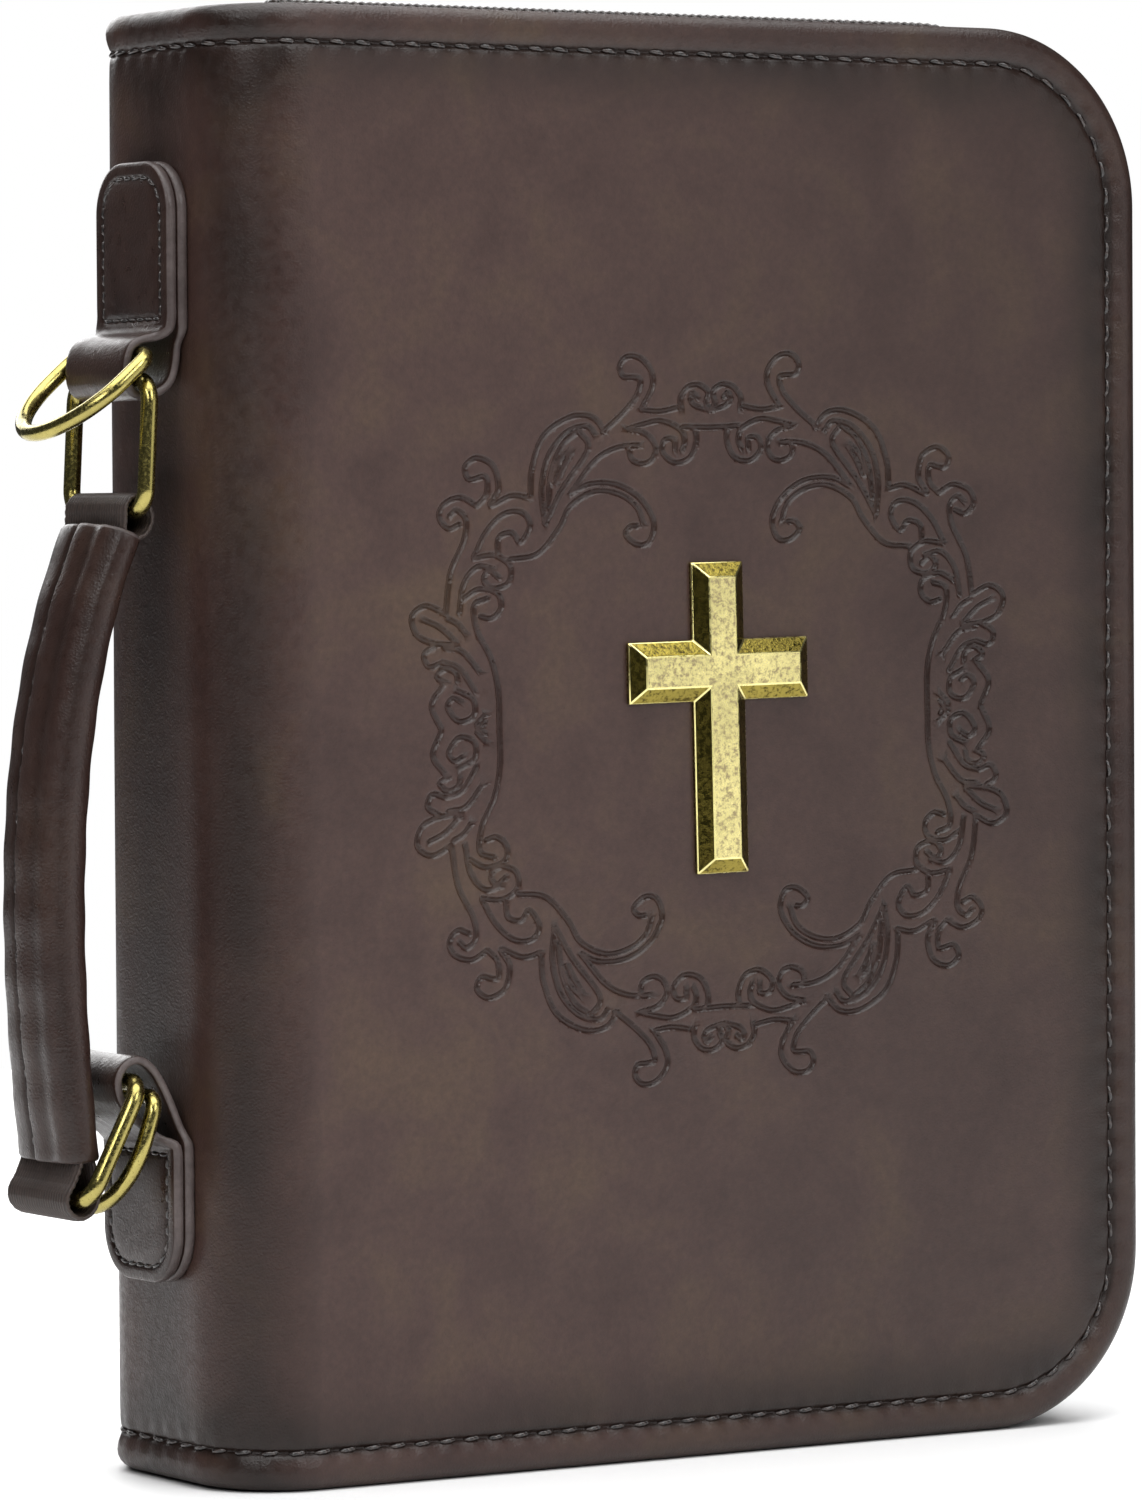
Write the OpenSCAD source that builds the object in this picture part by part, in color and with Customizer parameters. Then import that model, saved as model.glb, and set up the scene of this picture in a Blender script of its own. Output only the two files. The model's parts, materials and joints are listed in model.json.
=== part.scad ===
// Zipped leather book cover with a carrying handle, and the Bible that it holds.
// It stands on its bottom edge: the spine faces -X, the front cover faces -Y, and +Z is up.

/* [Case] */
// Height of the case, standing on its bottom edge
case_h = 270; // [225:1:325]
// Width from the spine to the fore-edge
case_w = 202; // [165:1:243]
// Thickness over both covers
case_t = 58; // [48:1:72]
// Radius of the two fore-edge corners
corner_r = 34; // [24:1:48]
// Radius of the rounded spine edges
spine_r = 17; // [14:0.5:20.5]
// Thickness of the outer leather
leather_t = 1.5; // [1:0.1:2]
// Thickness of the stiff boards in the covers and the spine
board_t = 2.2; // [1.5:0.1:2.6]
// Thickness of the fabric lining
lining_t = 0.9; // [0.5:0.1:1.1]
// How far the spine leather ends short of the covers' top and bottom edges
spine_short = 0.3; // [0.1:0.1:3]
// Distance of the stitched line from the edge
stitch_inset = 7; // [4:0.5:10]

/* [Zip] */
// Thickness of the woven zip tape
tape_t = 1.2; // [0.8:0.1:1.5]
// Height of the teeth above the tape
teeth_t = 2.4; // [1.8:0.1:3]
// Width of one row of teeth
teeth_w = 2.8; // [2:0.1:3.5]
// Length of a slider
slider_l = 14; // [11:0.5:18]
// Length of a pull, from its pin to its tip
pull_l = 20; // [16:0.5:22]

/* [Handle] */
// Wire radius of the handle's rectangular rings
loop_wire_r = 1.6; // [1.2:0.1:2]
// Wire radius of the strap rings
dee_wire_r = 1.5; // [1.2:0.1:1.7]
// Inner width of every ring, for a 25 mm strap
ring_in_w = 25.4; // [24:0.1:30]
// Distance between the two bars of a rectangular ring
ring_depth = 23.5; // [20:0.5:26]
// Depth of a strap ring, from its bar to the top of its bow
dee_depth = 21.5; // [19:0.5:24]
// Half thickness of the handle at its middle
grip_r = 5.5; // [4.5:0.1:6.5]
// Thickness of the handle's webbing
webbing_t = 1.3; // [1:0.1:1.5]

/* [Emblem] */
// Height of the cross
cross_h = 58.5; // [40:0.5:80]
// Width over the arms of the cross
cross_w = 40; // [28:0.5:56]
// Width of each bar of the cross
cross_bar = 11.5; // [8:0.5:14]
// Thickness of the cross at its flat top
cross_t = 2.8; // [2:0.1:4]
// Width of the bevel along the edges of the cross
cross_bevel = 2.85; // [1.5:0.05:3.5]
// Radius of the two studs that fasten the cross
stud_r = 1.2; // [1:0.1:1.5]

/* [Bible] */
// Spare room above and below the Bible, past what the case's round corners need
bible_play_z = 0; // [0:1:30]
// Spare room at the Bible's fore-edge, past what the case's round corners need
bible_play_x = 0; // [0:1:30]
// Thickness of the Bible's boards
bible_board_t = 2; // [1.5:0.1:2.2]
// How far the boards overhang the pages
bible_square = 3; // [2:0.5:5]

/* [Hidden] */

leather_color = [0.25, 0.19, 0.17];
thread_color = [0.16, 0.12, 0.11];
brass_color = [0.62, 0.53, 0.25];
tape_color = [0.17, 0.12, 0.10];
lining_color = [0.20, 0.17, 0.16];
board_color = [0.55, 0.47, 0.37];
page_color = [0.93, 0.89, 0.78];
cloth_color = [0.12, 0.12, 0.13];

// Play between a wire and the loop that it turns in
running = 0.1;
// Gap at the fold between the spine and a cover
fold_gap = 0.4;
// Thread lies flush in a groove: its thickness and width, and the play at the groove's sides
thread_t = 0.5;
thread_w = 0.9;
groove_play = 0.05;

half_t = case_t / 2;
cover_t = leather_t + board_t + lining_t;
cover_in = half_t - cover_t;
hinge_x = spine_r;
panel_x = hinge_x + fold_gap;

// Zip: the tape stands just inside the covers' edge, and higher off the ground at the bottom
tape_inset = 1;
tape_lift = 4.2;
tape_x0 = hinge_x + 4;
tape_gap = 0.5;
tape_x1 = case_w - tape_inset;
tape_r = corner_r - tape_inset - 1;
teeth_x0 = tape_x0 + 4;

// Sliders: they meet at the middle of the fore-edge
slider_half_w = 5;
slider_plate = 1.4;
slider_lift = 1;
slider_under = 0.4;
post_half = 0.3;
lug_h = 3.6;
lug_t = 1.2;
lug_half_l = 1.8;
lug_half_gap = 2;
pin_r = 0.8;
post_inset = 1;
post_l = slider_l - 6;
pull_half_w = 3.5;
pull_half_t = 0.7;
pull_hub_r = 1.5;
pull_hub_half = 1.7;
pull_neck = 4.5;
pull_body_z = 3.6;
pull_hole_r = 1.8;
slider_top_x = tape_x1 + teeth_t + slider_lift + slider_plate;
pin_x = slider_top_x + lug_h - 1.5;
meet_z = case_h / 2;
slider_gap = 0.2;
pin_z = slider_gap + slider_l - 2.5;

// Sleeves that hold the Bible's boards
sleeve_t = 0.8;
sleeve_inset = 8;
sleeve_seam = 3;
sleeve_x0 = 70;
slip = 0.2;
sleeve_y = cover_in - 2 * slip - bible_board_t;

// Bible
// A square corner needs this much room inside the sleeve's round corner
corner_room = (corner_r - sleeve_inset - sleeve_seam) * (1 - sqrt(0.5)) + slip;
bible_z0 = sleeve_inset + sleeve_seam + corner_room + bible_play_z;
bible_h = case_h - 2 * bible_z0;
bible_x = case_w - sleeve_inset - 1 - sleeve_seam - corner_room - bible_play_x;
bible_board_x0 = hinge_x + 3;
pages_x0 = spine_r - 3;
pages_x1 = bible_x - bible_square;
pages_z0 = bible_z0 + bible_square;
pages_h = bible_h - 2 * bible_square;
pages_half_t = sleeve_y - sleeve_t - 0.3;
// The rounded spine edge keeps its depth at any thickness, clear of the boards
pages_bulge = 3.76;
pages_round = (pow(pages_bulge, 2) + pow(pages_half_t, 2)) / (2 * pages_bulge);
fore_round = 75;
bible_spine_t = 2;
fore_hollow = 3;
board_corner_r = 3;
headband_h = 1.4;
headband_t = 2.5;
ribbon_x = 60;
ribbon_w = 6;
ribbon_t = 0.5;
ribbon_tail = 11;

// Cross
cross_x = (hinge_x + case_w) / 2 - 5.5;
cross_z = case_h / 2 + 3.9;
cross_arm = 8.9;
cross_wall = 0.9;
cross_tilt = 1.1;
washer_r = 4;
washer_t = 0.5;
stud_clear = 0.1;
// Each stud's place along the upright, in bar widths from the middle
stud_at = [-1.2, 1.6];

// Tabs and rings, seen along the spine: [x, z] of each bar, and its angle from straight down
mid = case_h / 2;
tab_t = 4.6;
tab_half_w = ring_in_w / 2 + 1.1;
tab_neck = ring_in_w / 2 - 1.2;
upper_tab_len = 31;
lower_tab_len = 26;
tab_corner_r = 9.5;
// Stitching on a tab: how far in from its edge, and from the end at the loop
tab_seam = 3;
tab_seam_end = 2;
upper_tab_z = mid + 76;
lower_tab_z = mid - 72;
upper_bar = [-8.4, mid + 66.9];
upper_dee = [-8.3, mid + 71.6];
lower_bar = [-11.4, mid - 60.4];
lower_dee = [-8.2, mid - 63.2];
upper_bar_angle = 3;
lower_bar_angle = 27;
upper_dee_angle = 49;
lower_dee_angle = 18;
strap_t = 1.7;
rect_bend = 4;
dee_bend = 3;
// Room round each wire in its tab's loop, and how far the room sits off the wire's middle
upper_bar_room = loop_wire_r + 1.1;
upper_dee_room = dee_wire_r + 0.5;
upper_bar_shift = [0.3, 0.6];
upper_dee_shift = [0.2, 0.1];
lower_bar_room = loop_wire_r + 1.4;
lower_dee_room = dee_wire_r + 0.6;
lower_bar_shift = [0.9, 0.3];
lower_dee_shift = [-0.1, -0.1];

// Handle: its line is one cubic curve from top to bottom, given by four points [x, z]
webbing_w = ring_in_w - 1.2;
webbing_core_w = 15;
ring_play = 0.3;
grip_line = [[-11, mid + 39.5], [-25.6, mid + 7], [-25, mid - 35], [-20.8, mid - 74.5]];
grip_end_half_w = ring_in_w / 2 - ring_play;
grip_mid_half_w = 10.4;
grip_end_r = 4.2;
sleeve_wall = 1.5;
padding_play = 0.25;
seam_y = 0;
grip_steps = 18;
grip_sides = 28;
// Exponent of the handle's rounded section: 1 is an ellipse, and less is squarer
grip_square = 0.8;
slack_up = 1.6;
slack_side = 0.55;

// The webbing is wider than the straight stretch of a ring's bar: past it, the bar bends away
bar_half = ring_in_w / 2 + loop_wire_r - rect_bend;
bend_in = rect_bend - loop_wire_r;
bend_rise = bend_in - sqrt(pow(bend_in, 2) - pow(webbing_w / 2 - bar_half, 2));
// How far the webbing's core runs past each end of the handle's line, as a share of the line
webbing_over = 0.02;

upper_grip_bar = swing(upper_bar, upper_bar_angle, ring_depth);
lower_grip_bar = swing(lower_bar, lower_bar_angle, ring_depth);

// The part's frame: the middle of its outer box, on the ground
box_x0 = -29.5;
box_x1 = slider_top_x + lug_h;
origin_x = (box_x0 + box_x1) / 2;
origin_y = -cross_t / 2;

function swing(from, angle, reach) = [from.x - reach * sin(angle), from.y - reach * cos(angle)];

function curve(p, t) = pow(1 - t, 3) * p[0] + 3 * t * pow(1 - t, 2) * p[1]
                     + 3 * t * t * (1 - t) * p[2] + pow(t, 3) * p[3];
function curve_dir(p, t) = let (d = pow(1 - t, 2) * (p[1] - p[0]) + 2 * t * (1 - t) * (p[2] - p[1])
                                  + t * t * (p[3] - p[2])) d / norm(d);

module place() translate([-origin_x, -origin_y, 0]) children();

// The front is the back mirrored in the middle plane
module side(front) {
  if (front) mirror([0, 1, 0]) children();
  else children();
}

// A flat drawing in X and Z, made solid from y0 to y1
module slab(y0, y1) translate([0, y1, 0]) rotate([90, 0, 0]) linear_extrude(y1 - y0) children();

// A drawing in X and Z, made solid over a width centred on the middle plane
module across(w) slab(-w / 2, w / 2) children();

// A rectangle with both fore-edge corners rounded
module outline(x0, x1, z0, z1, r) {
  translate([x0, z0]) square([x1 - r - x0, z1 - z0]);
  translate([x0, z0 + r]) square([x1 - x0, z1 - z0 - 2 * r]);
  for (z = [z0 + r, z1 - r]) translate([x1 - r, z]) circle(r, $fn = 120);
}

module cover_outline(inset, x0 = panel_x)
  outline(x0, case_w - inset, inset, case_h - inset, corner_r - inset);

module tape_outline(out, x0 = tape_x0)
  outline(x0, tape_x1 + out, tape_lift - out, case_h - tape_inset + out, tape_r + out);

// Half of the spine's U, seen from above, between two depths below the outer surface
module spine_u(outer, inner, trim) {
  r0 = spine_r - outer;
  r1 = spine_r - inner;
  translate([0, 0, spine_short + trim]) linear_extrude(case_h - 2 * (spine_short + trim))
    difference() {
      union() {
        translate([outer, outer - half_t + r0]) square([hinge_x - outer, case_t - 2 * outer - 2 * r0]);
        translate([hinge_x - 0.01, outer - half_t]) square([0.01, case_t - 2 * outer]);
        for (y = [half_t - spine_r, spine_r - half_t]) translate([spine_r, y]) circle(r0, $fn = 96);
      }
      for (y = [half_t - spine_r, spine_r - half_t]) translate([spine_r, y]) circle(r1, $fn = 96);
      translate([inner, inner - half_t + r1]) square([hinge_x, case_t - 2 * inner - 2 * r1]);
      translate([hinge_x, -case_t]) square([2 * spine_r, 2 * case_t]);
    }
}

module spine_leather() color(leather_color) place() difference() {
  spine_u(0, leather_t, 0);
  spine_thread(thread_w / 2 + groove_play);
}

module spine_stiffener() color(board_color) place() spine_u(leather_t, leather_t + board_t, 2);

module spine_lining() color(lining_color) place() spine_u(leather_t + board_t, cover_t, 1);

// The top and bottom lines of thread round the spine
module spine_thread(half_w) intersection() {
  spine_u(0, thread_t, 0);
  for (z = [stitch_inset, case_h - stitch_inset]) translate([0, -case_t, z - half_w])
    cube([hinge_x, 2 * case_t, 2 * half_w]);
}

module spine_stitching() color(thread_color) place() spine_thread(thread_w / 2);

// Outer leather of one cover, with its edge turned in over the board
module panel_leather() {
  slab(half_t - leather_t, half_t - thread_t) cover_outline(0);
  slab(half_t - thread_t, half_t) difference() {
    cover_outline(0);
    thread_line(thread_w / 2 + groove_play);
  }
  slab(cover_in, half_t - leather_t) difference() {
    cover_outline(0);
    cover_outline(leather_t, 0);
  }
}

module panel_board() slab(cover_in + lining_t, half_t - leather_t) cover_outline(leather_t, panel_x + 2);

module panel_lining() slab(cover_in, cover_in + lining_t) cover_outline(leather_t);

module thread_line(half_w) difference() {
  cover_outline(stitch_inset - half_w);
  cover_outline(stitch_inset + half_w, 0);
}

module panel_stitching() slab(half_t - thread_t, half_t) thread_line(thread_w / 2);

// Pocket for one of the Bible's boards, open towards the spine
module panel_sleeve() {
  x1 = case_w - sleeve_inset - 1;
  slab(sleeve_y - sleeve_t, sleeve_y)
    outline(sleeve_x0, x1, sleeve_inset, case_h - sleeve_inset, corner_r - sleeve_inset);
  slab(sleeve_y, cover_in) difference() {
    outline(sleeve_x0, x1, sleeve_inset, case_h - sleeve_inset, corner_r - sleeve_inset);
    outline(0, x1 - sleeve_seam, sleeve_inset + sleeve_seam, case_h - sleeve_inset - sleeve_seam,
            corner_r - sleeve_inset - sleeve_seam);
  }
}

module zip_tape() slab(tape_gap, cover_in) difference() {
  tape_outline(0);
  tape_outline(-tape_t, 0);
}

module zip_teeth() slab(tape_gap, tape_gap + teeth_w) difference() {
  tape_outline(teeth_t, teeth_x0);
  tape_outline(0, 0);
}

module stud_places() for (z = stud_at) translate([cross_x, 0, cross_z + z * cross_bar]) children();

module front_leather() color(leather_color) place() difference() {
  side(true) panel_leather();
  stud_places() rotate([90, 0, 0]) cylinder(h = case_t, r = stud_r + stud_clear, $fn = 32);
}

module front_board() color(board_color) place() difference() {
  side(true) panel_board();
  stud_places() rotate([90, 0, 0]) cylinder(h = case_t, r = stud_r + stud_clear, $fn = 32);
  stud_places() translate([0, -cover_in, 0]) rotate([90, 0, 0])
    cylinder(h = lining_t + washer_t + stud_clear, r = washer_r + 2 * stud_clear, $fn = 48);
}

module front_lining() color(lining_color) place() side(true) panel_lining();

module front_sleeve() color(lining_color) place() side(true) panel_sleeve();

module front_stitching() color(thread_color) place() side(true) panel_stitching();

module front_zip_tape() color(tape_color) place() side(true) zip_tape();

module front_zip_teeth() color(tape_color) place() side(true) zip_teeth();

module back_leather() color(leather_color) place() side(false) panel_leather();

module back_board() color(board_color) place() side(false) panel_board();

module back_lining() color(lining_color) place() side(false) panel_lining();

module back_sleeve() color(lining_color) place() side(false) panel_sleeve();

module back_stitching() color(thread_color) place() side(false) panel_stitching();

module back_zip_tape() color(tape_color) place() side(false) zip_tape();

module back_zip_teeth() color(tape_color) place() side(false) zip_teeth();

// A slider, drawn upwards from the place where the two meet
module slider_body() {
  plate_x = slider_top_x - slider_plate;
  under_x = tape_x1 - tape_t - slider_under - slider_plate;
  translate([plate_x, -slider_half_w, slider_gap]) cube([slider_plate, 2 * slider_half_w, slider_l]);
  translate([under_x, -slider_half_w, slider_gap]) cube([slider_plate, 2 * slider_half_w, slider_l]);
  translate([under_x + slider_plate, -post_half, slider_gap + post_inset])
    cube([plate_x - under_x - slider_plate, 2 * post_half, post_l]);
}

// A rod along Y, centred on the middle plane
module rod(half_l, r) translate([0, half_l, 0]) rotate([90, 0, 0]) cylinder(h = 2 * half_l, r = r, $fn = 32);

// Two lugs and the pin that the pull hangs on
module slider_lugs(z) {
  for (y = [-lug_half_gap - lug_t, lug_half_gap]) translate([slider_top_x, y, z - lug_half_l])
    cube([lug_h, lug_t, 2 * lug_half_l]);
  translate([pin_x, 0, z]) rod(lug_half_gap + 0.1, pin_r);
}

module slider_pull(z) {
  eye_z = z - pull_l + pull_half_w;
  difference() {
    translate([pin_x, 0, z]) {
      rod(pull_hub_half, pull_hub_r);
      translate([-pull_half_t, -pull_hub_half, -pull_neck])
        cube([2 * pull_half_t, 2 * pull_hub_half, pull_neck]);
    }
    translate([pin_x, 0, z]) rod(2 * pull_hub_half, pin_r + running);
  }
  translate([pin_x - pull_half_t, 0, 0]) rotate([90, 0, 90]) linear_extrude(2 * pull_half_t) difference() {
    union() {
      translate([-pull_half_w, eye_z]) square([2 * pull_half_w, z - pull_body_z - eye_z]);
      translate([0, eye_z]) circle(pull_half_w, $fn = 48);
    }
    translate([0, eye_z]) circle(pull_hole_r, $fn = 32);
  }
}

module upper_slider() color(brass_color) place() translate([0, 0, meet_z]) {
  slider_body();
  slider_lugs(pin_z);
}

module lower_slider() color(brass_color) place() translate([0, 0, meet_z]) {
  mirror([0, 0, 1]) slider_body();
  slider_lugs(-pin_z);
}

module upper_pull() color(brass_color) place() translate([0, 0, meet_z]) slider_pull(pin_z);

module lower_pull() color(brass_color) place() translate([0, 0, meet_z]) slider_pull(-pin_z);

// One bar of the cross: a wall at the leather, then a bevel all round to a narrower flat top
module cross_member(w, h) hull() {
  translate([-w / 2, -half_t - cross_wall, -h / 2]) cube([w, cross_wall, h]);
  translate([-w / 2 + cross_bevel, -half_t - cross_t, -h / 2 + cross_bevel])
    cube([w - 2 * cross_bevel, cross_t - cross_wall, h - 2 * cross_bevel]);
}

module cross_emblem() color(brass_color) place() translate([cross_x, 0, cross_z])
  rotate([0, -cross_tilt, 0]) {
    cross_member(cross_bar, cross_h);
    translate([0, 0, cross_arm]) cross_member(cross_w, cross_bar);
  }

module cross_studs() color(brass_color) place() stud_places() {
  depth = leather_t + board_t;
  translate([0, -half_t + depth - stud_clear, 0]) rotate([90, 0, 0])
    cylinder(h = depth - stud_clear, r = stud_r, $fn = 32);
  translate([0, -half_t + depth - stud_clear, 0]) rotate([90, 0, 0])
    cylinder(h = washer_t, r = washer_r, $fn = 48);
}

// Stitched part of a tab: square at the loop and rounded at the far end, with a groove for its thread
module tab_plate(z, up, length) difference() {
  translate([-tab_t, 0, z]) mirror([0, 0, up > 0 ? 0 : 1]) rotate([90, 0, 90])
    linear_extrude(tab_t) tab_shape(length, 0, 0);
  tab_thread(z, up, length);
}

// The strap's loop round the bars of a rectangular ring and a strap ring
module tab_loop(bar, bar_room, dee, dee_room, z, up) across(2 * tab_neck) difference() {
  hull() {
    translate(bar) circle(bar_room + strap_t, $fn = 48);
    translate(dee) circle(dee_room + strap_t, $fn = 48);
    translate([-tab_t, up > 0 ? z : z - 1]) square([tab_t, 1]);
  }
  hull() {
    translate(bar) circle(bar_room, $fn = 48);
    translate(dee) circle(dee_room, $fn = 48);
    translate([-tab_t + 1.1, z - up * 1.6]) circle(0.4, $fn = 24);
  }
}

module upper_tab() color(leather_color) place() {
  tab_plate(upper_tab_z, 1, upper_tab_len);
  tab_loop(upper_bar + upper_bar_shift, upper_bar_room, upper_dee + upper_dee_shift, upper_dee_room,
           upper_tab_z, 1);
}

module lower_tab() color(leather_color) place() {
  tab_plate(lower_tab_z, -1, lower_tab_len);
  tab_loop(lower_bar + lower_bar_shift, lower_bar_room, lower_dee + lower_dee_shift, lower_dee_room,
           lower_tab_z, -1);
}

// A tab's outline, drawn in by some distance all round
module tab_shape(length, inset, end) {
  half_w = tab_half_w - inset;
  corner = tab_corner_r - inset;
  translate([-half_w, end]) square([2 * half_w, length - tab_corner_r - end]);
  hull() for (s = [-1, 1])
    translate([s * (half_w - corner), length - tab_corner_r]) circle(corner, $fn = 96);
}

module tab_thread(z, up, length)
  translate([-tab_t, 0, z]) mirror([0, 0, up > 0 ? 0 : 1]) rotate([90, 0, 90])
    linear_extrude(thread_t) difference() {
      tab_shape(length, tab_seam, tab_seam_end);
      tab_shape(length, tab_seam + thread_w, tab_seam_end + thread_w);
    }

module tab_stitching() color(thread_color) place() {
  tab_thread(upper_tab_z, 1, upper_tab_len);
  tab_thread(lower_tab_z, -1, lower_tab_len);
}

// A wire ring lies in Y and -Z, with its bar along Y at the origin
module wire(from_y, from_z, length, r) translate([0, from_y, from_z]) rotate([180, 0, 0])
  cylinder(h = length, r = r, $fn = 32);

module wire_bar(z, length, r) translate([0, length / 2, z]) rotate([90, 0, 0])
  cylinder(h = length, r = r, $fn = 32);

// A round bend in a wire, sweeping from a start angle, measured in the ring's own plane
module wire_bend(y, z, bend, r, start, sweep) translate([0, y, z]) rotate([90, 0, 90]) rotate([0, 0, start])
  rotate_extrude(angle = sweep, $fn = 96) translate([bend, 0]) circle(r, $fn = 32);

module rect_ring(r) {
  half = ring_in_w / 2 + r;
  wire_bar(0, 2 * (half - rect_bend), r);
  wire_bar(-ring_depth, 2 * (half - rect_bend), r);
  for (y = [-half, half]) wire(y, -rect_bend, ring_depth - 2 * rect_bend, r);
  wire_bend(half - rect_bend, -rect_bend, rect_bend, r, 0, 90);
  wire_bend(rect_bend - half, -rect_bend, rect_bend, r, 90, 90);
  wire_bend(rect_bend - half, rect_bend - ring_depth, rect_bend, r, 180, 90);
  wire_bend(half - rect_bend, rect_bend - ring_depth, rect_bend, r, 270, 90);
}

module dee_ring(r) {
  half = ring_in_w / 2 + r;
  wire_bar(0, 2 * (half - dee_bend), r);
  for (y = [-half, half]) wire(y, -dee_bend, dee_depth - half - dee_bend, r);
  wire_bend(half - dee_bend, -dee_bend, dee_bend, r, 0, 90);
  wire_bend(dee_bend - half, -dee_bend, dee_bend, r, 90, 90);
  wire_bend(0, half - dee_depth, half, r, 180, 180);
}

module hang(at, angle) translate([at.x, 0, at.y]) rotate([0, angle, 0]) children();

module upper_rect_ring() color(brass_color) place() hang(upper_bar, upper_bar_angle) rect_ring(loop_wire_r);

module lower_rect_ring() color(brass_color) place() hang(lower_bar, lower_bar_angle) rect_ring(loop_wire_r);

module upper_d_ring() color(brass_color) place() hang(upper_dee, upper_dee_angle) dee_ring(dee_wire_r);

module lower_d_ring() color(brass_color) place() hang(lower_dee, lower_dee_angle) dee_ring(dee_wire_r);

// A place beside the handle's line: n is along the line's outward normal, t runs from 0 to 1
function grip_at(t, n) = let (p = curve(grip_line, t), d = curve_dir(grip_line, t)) p + n * [d.y, -d.x];
function grip_swell(t) = sin(180 * t);
function grip_half_w(t) = grip_end_half_w + (grip_mid_half_w - grip_end_half_w) * grip_swell(t);
function grip_half_t(t) = grip_end_r + (grip_r - grip_end_r) * grip_swell(t);

// A rounded solid round the handle's line, with a wall left off all round
module grip_solid(wall, t0, t1) {
  sides = grip_sides;
  pts = [for (i = [0:grip_steps]) let (t = t0 + (t1 - t0) * i / grip_steps)
    for (k = [0:sides - 1]) let (a = 360 * k / sides, c = cos(a), s = sin(a),
      q = grip_at(t, (grip_half_t(t) - wall) * sign(c) * pow(abs(c), grip_square)))
      [q.x, (grip_half_w(t) - wall) * sign(s) * pow(abs(s), grip_square), q.y]];
  faces = concat(
    [[for (k = [0:sides - 1]) k]],
    [for (i = [0:grip_steps - 1]) for (k = [0:sides - 1]) let (a = i * sides + k,
      b = i * sides + (k + 1) % sides) each [[b, a, a + sides], [b, a + sides, b + sides]]],
    [[for (k = [sides - 1:-1:0]) grip_steps * sides + k]]);
  polyhedron(pts, faces);
}

// The webbing's flat core, seen along the spine
module webbing_line() {
  steps = [for (i = [0:grip_steps]) -webbing_over + (1 + 2 * webbing_over) * i / grip_steps];
  polygon(concat([for (t = steps) grip_at(t, webbing_t)],
                 [for (i = [grip_steps:-1:0]) grip_at(steps[i], -webbing_t)]));
}

module handle_sleeve() color(leather_color) place() difference() {
  grip_solid(0, 0, 1);
  grip_solid(sleeve_wall, -0.02, 1.02);
}

module handle_padding() color([0.3, 0.3, 0.3]) place() difference() {
  grip_solid(sleeve_wall + padding_play, 0.04, 0.96);
  across(2 * grip_end_half_w) webbing_line();
}

// The room for a ring's bar in the webbing, made longer upwards by some slack
module eye_room(bar, room, slack) hull() for (lift = [0, slack])
  translate(bar + [0, lift]) circle(room, $fn = 48);

// A webbing loop round a ring's bar: its room is wider at both edges, where the bar bends away
module webbing_eye(bar, end, room, slack) difference() {
  across(webbing_w) hull() {
    eye_room(bar, room + webbing_t, slack);
    translate(end) circle(webbing_t, $fn = 24);
  }
  across(2 * webbing_w) eye_room(bar, room, slack);
  for (s = [-1, 1]) translate([0, s * webbing_w, 0]) across(2 * (webbing_w - bar_half + running))
    eye_room(bar, room + bend_rise, slack);
}

module handle_webbing() color(tape_color) place() {
  across(webbing_core_w) webbing_line();
  webbing_eye(upper_grip_bar, grip_at(-webbing_over, 0), loop_wire_r + running, 0);
  webbing_eye(lower_grip_bar, grip_at(1 + webbing_over, 0), loop_wire_r + slack_side, slack_up);
}

// Thread along the seam on the handle's outer face
module handle_stitching() color(thread_color) place() intersection() {
  difference() {
    grip_solid(-thread_t, 0.02, 0.98);
    grip_solid(0, 0, 1);
  }
  translate([box_x0, seam_y, 0]) cube([-box_x0 - tab_t, thread_w, case_h]);
}

module bible_board() slab(sleeve_y + slip, sleeve_y + slip + bible_board_t)
  outline(bible_board_x0, bible_x, bible_z0, bible_z0 + bible_h, board_corner_r);

// The pages: a rounded spine edge and a hollow fore-edge
module bible_pages() color(page_color) place() translate([0, 0, pages_z0]) linear_extrude(pages_h)
  difference() {
    union() {
      intersection() {
        translate([pages_x0, -pages_half_t]) square([pages_round / 2, 2 * pages_half_t]);
        translate([pages_x0 + pages_round, 0]) circle(pages_round, $fn = 180);
      }
      translate([pages_x0 + pages_round / 2, -pages_half_t])
        square([pages_x1 - pages_x0 - pages_round / 2, 2 * pages_half_t]);
    }
    translate([pages_x1 + fore_round - fore_hollow, 0]) circle(fore_round, $fn = 180);
  }

module bible_front_board() color(cloth_color) place() side(true) bible_board();

module bible_back_board() color(cloth_color) place() side(false) bible_board();

module bible_spine_cover() color(cloth_color) place() translate([0, 0, bible_z0]) linear_extrude(bible_h)
  intersection() {
    difference() {
      translate([pages_x0 + pages_round, 0]) circle(pages_round + bible_spine_t + slip, $fn = 180);
      translate([pages_x0 + pages_round, 0]) circle(pages_round + slip, $fn = 180);
    }
    translate([0, -pages_half_t - bible_board_t]) square([pages_round, 2 * (pages_half_t + bible_board_t)]);
  }

module bible_headbands() color([0.75, 0.68, 0.5]) place()
  for (z = [pages_z0 - headband_h, pages_z0 + pages_h]) translate([0, 0, z])
    linear_extrude(headband_h) intersection() {
    difference() {
      translate([pages_x0 + pages_round, 0]) circle(pages_round, $fn = 180);
      translate([pages_x0 + pages_round, 0]) circle(pages_round - headband_t, $fn = 180);
    }
    translate([0, -pages_half_t]) square([pages_round, 2 * pages_half_t]);
  }

module bible_ribbon() color([0.45, 0.08, 0.1]) place() translate([ribbon_x, 2, bible_z0 - ribbon_tail])
  cube([ribbon_w, ribbon_t, ribbon_tail + bible_square]);

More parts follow.
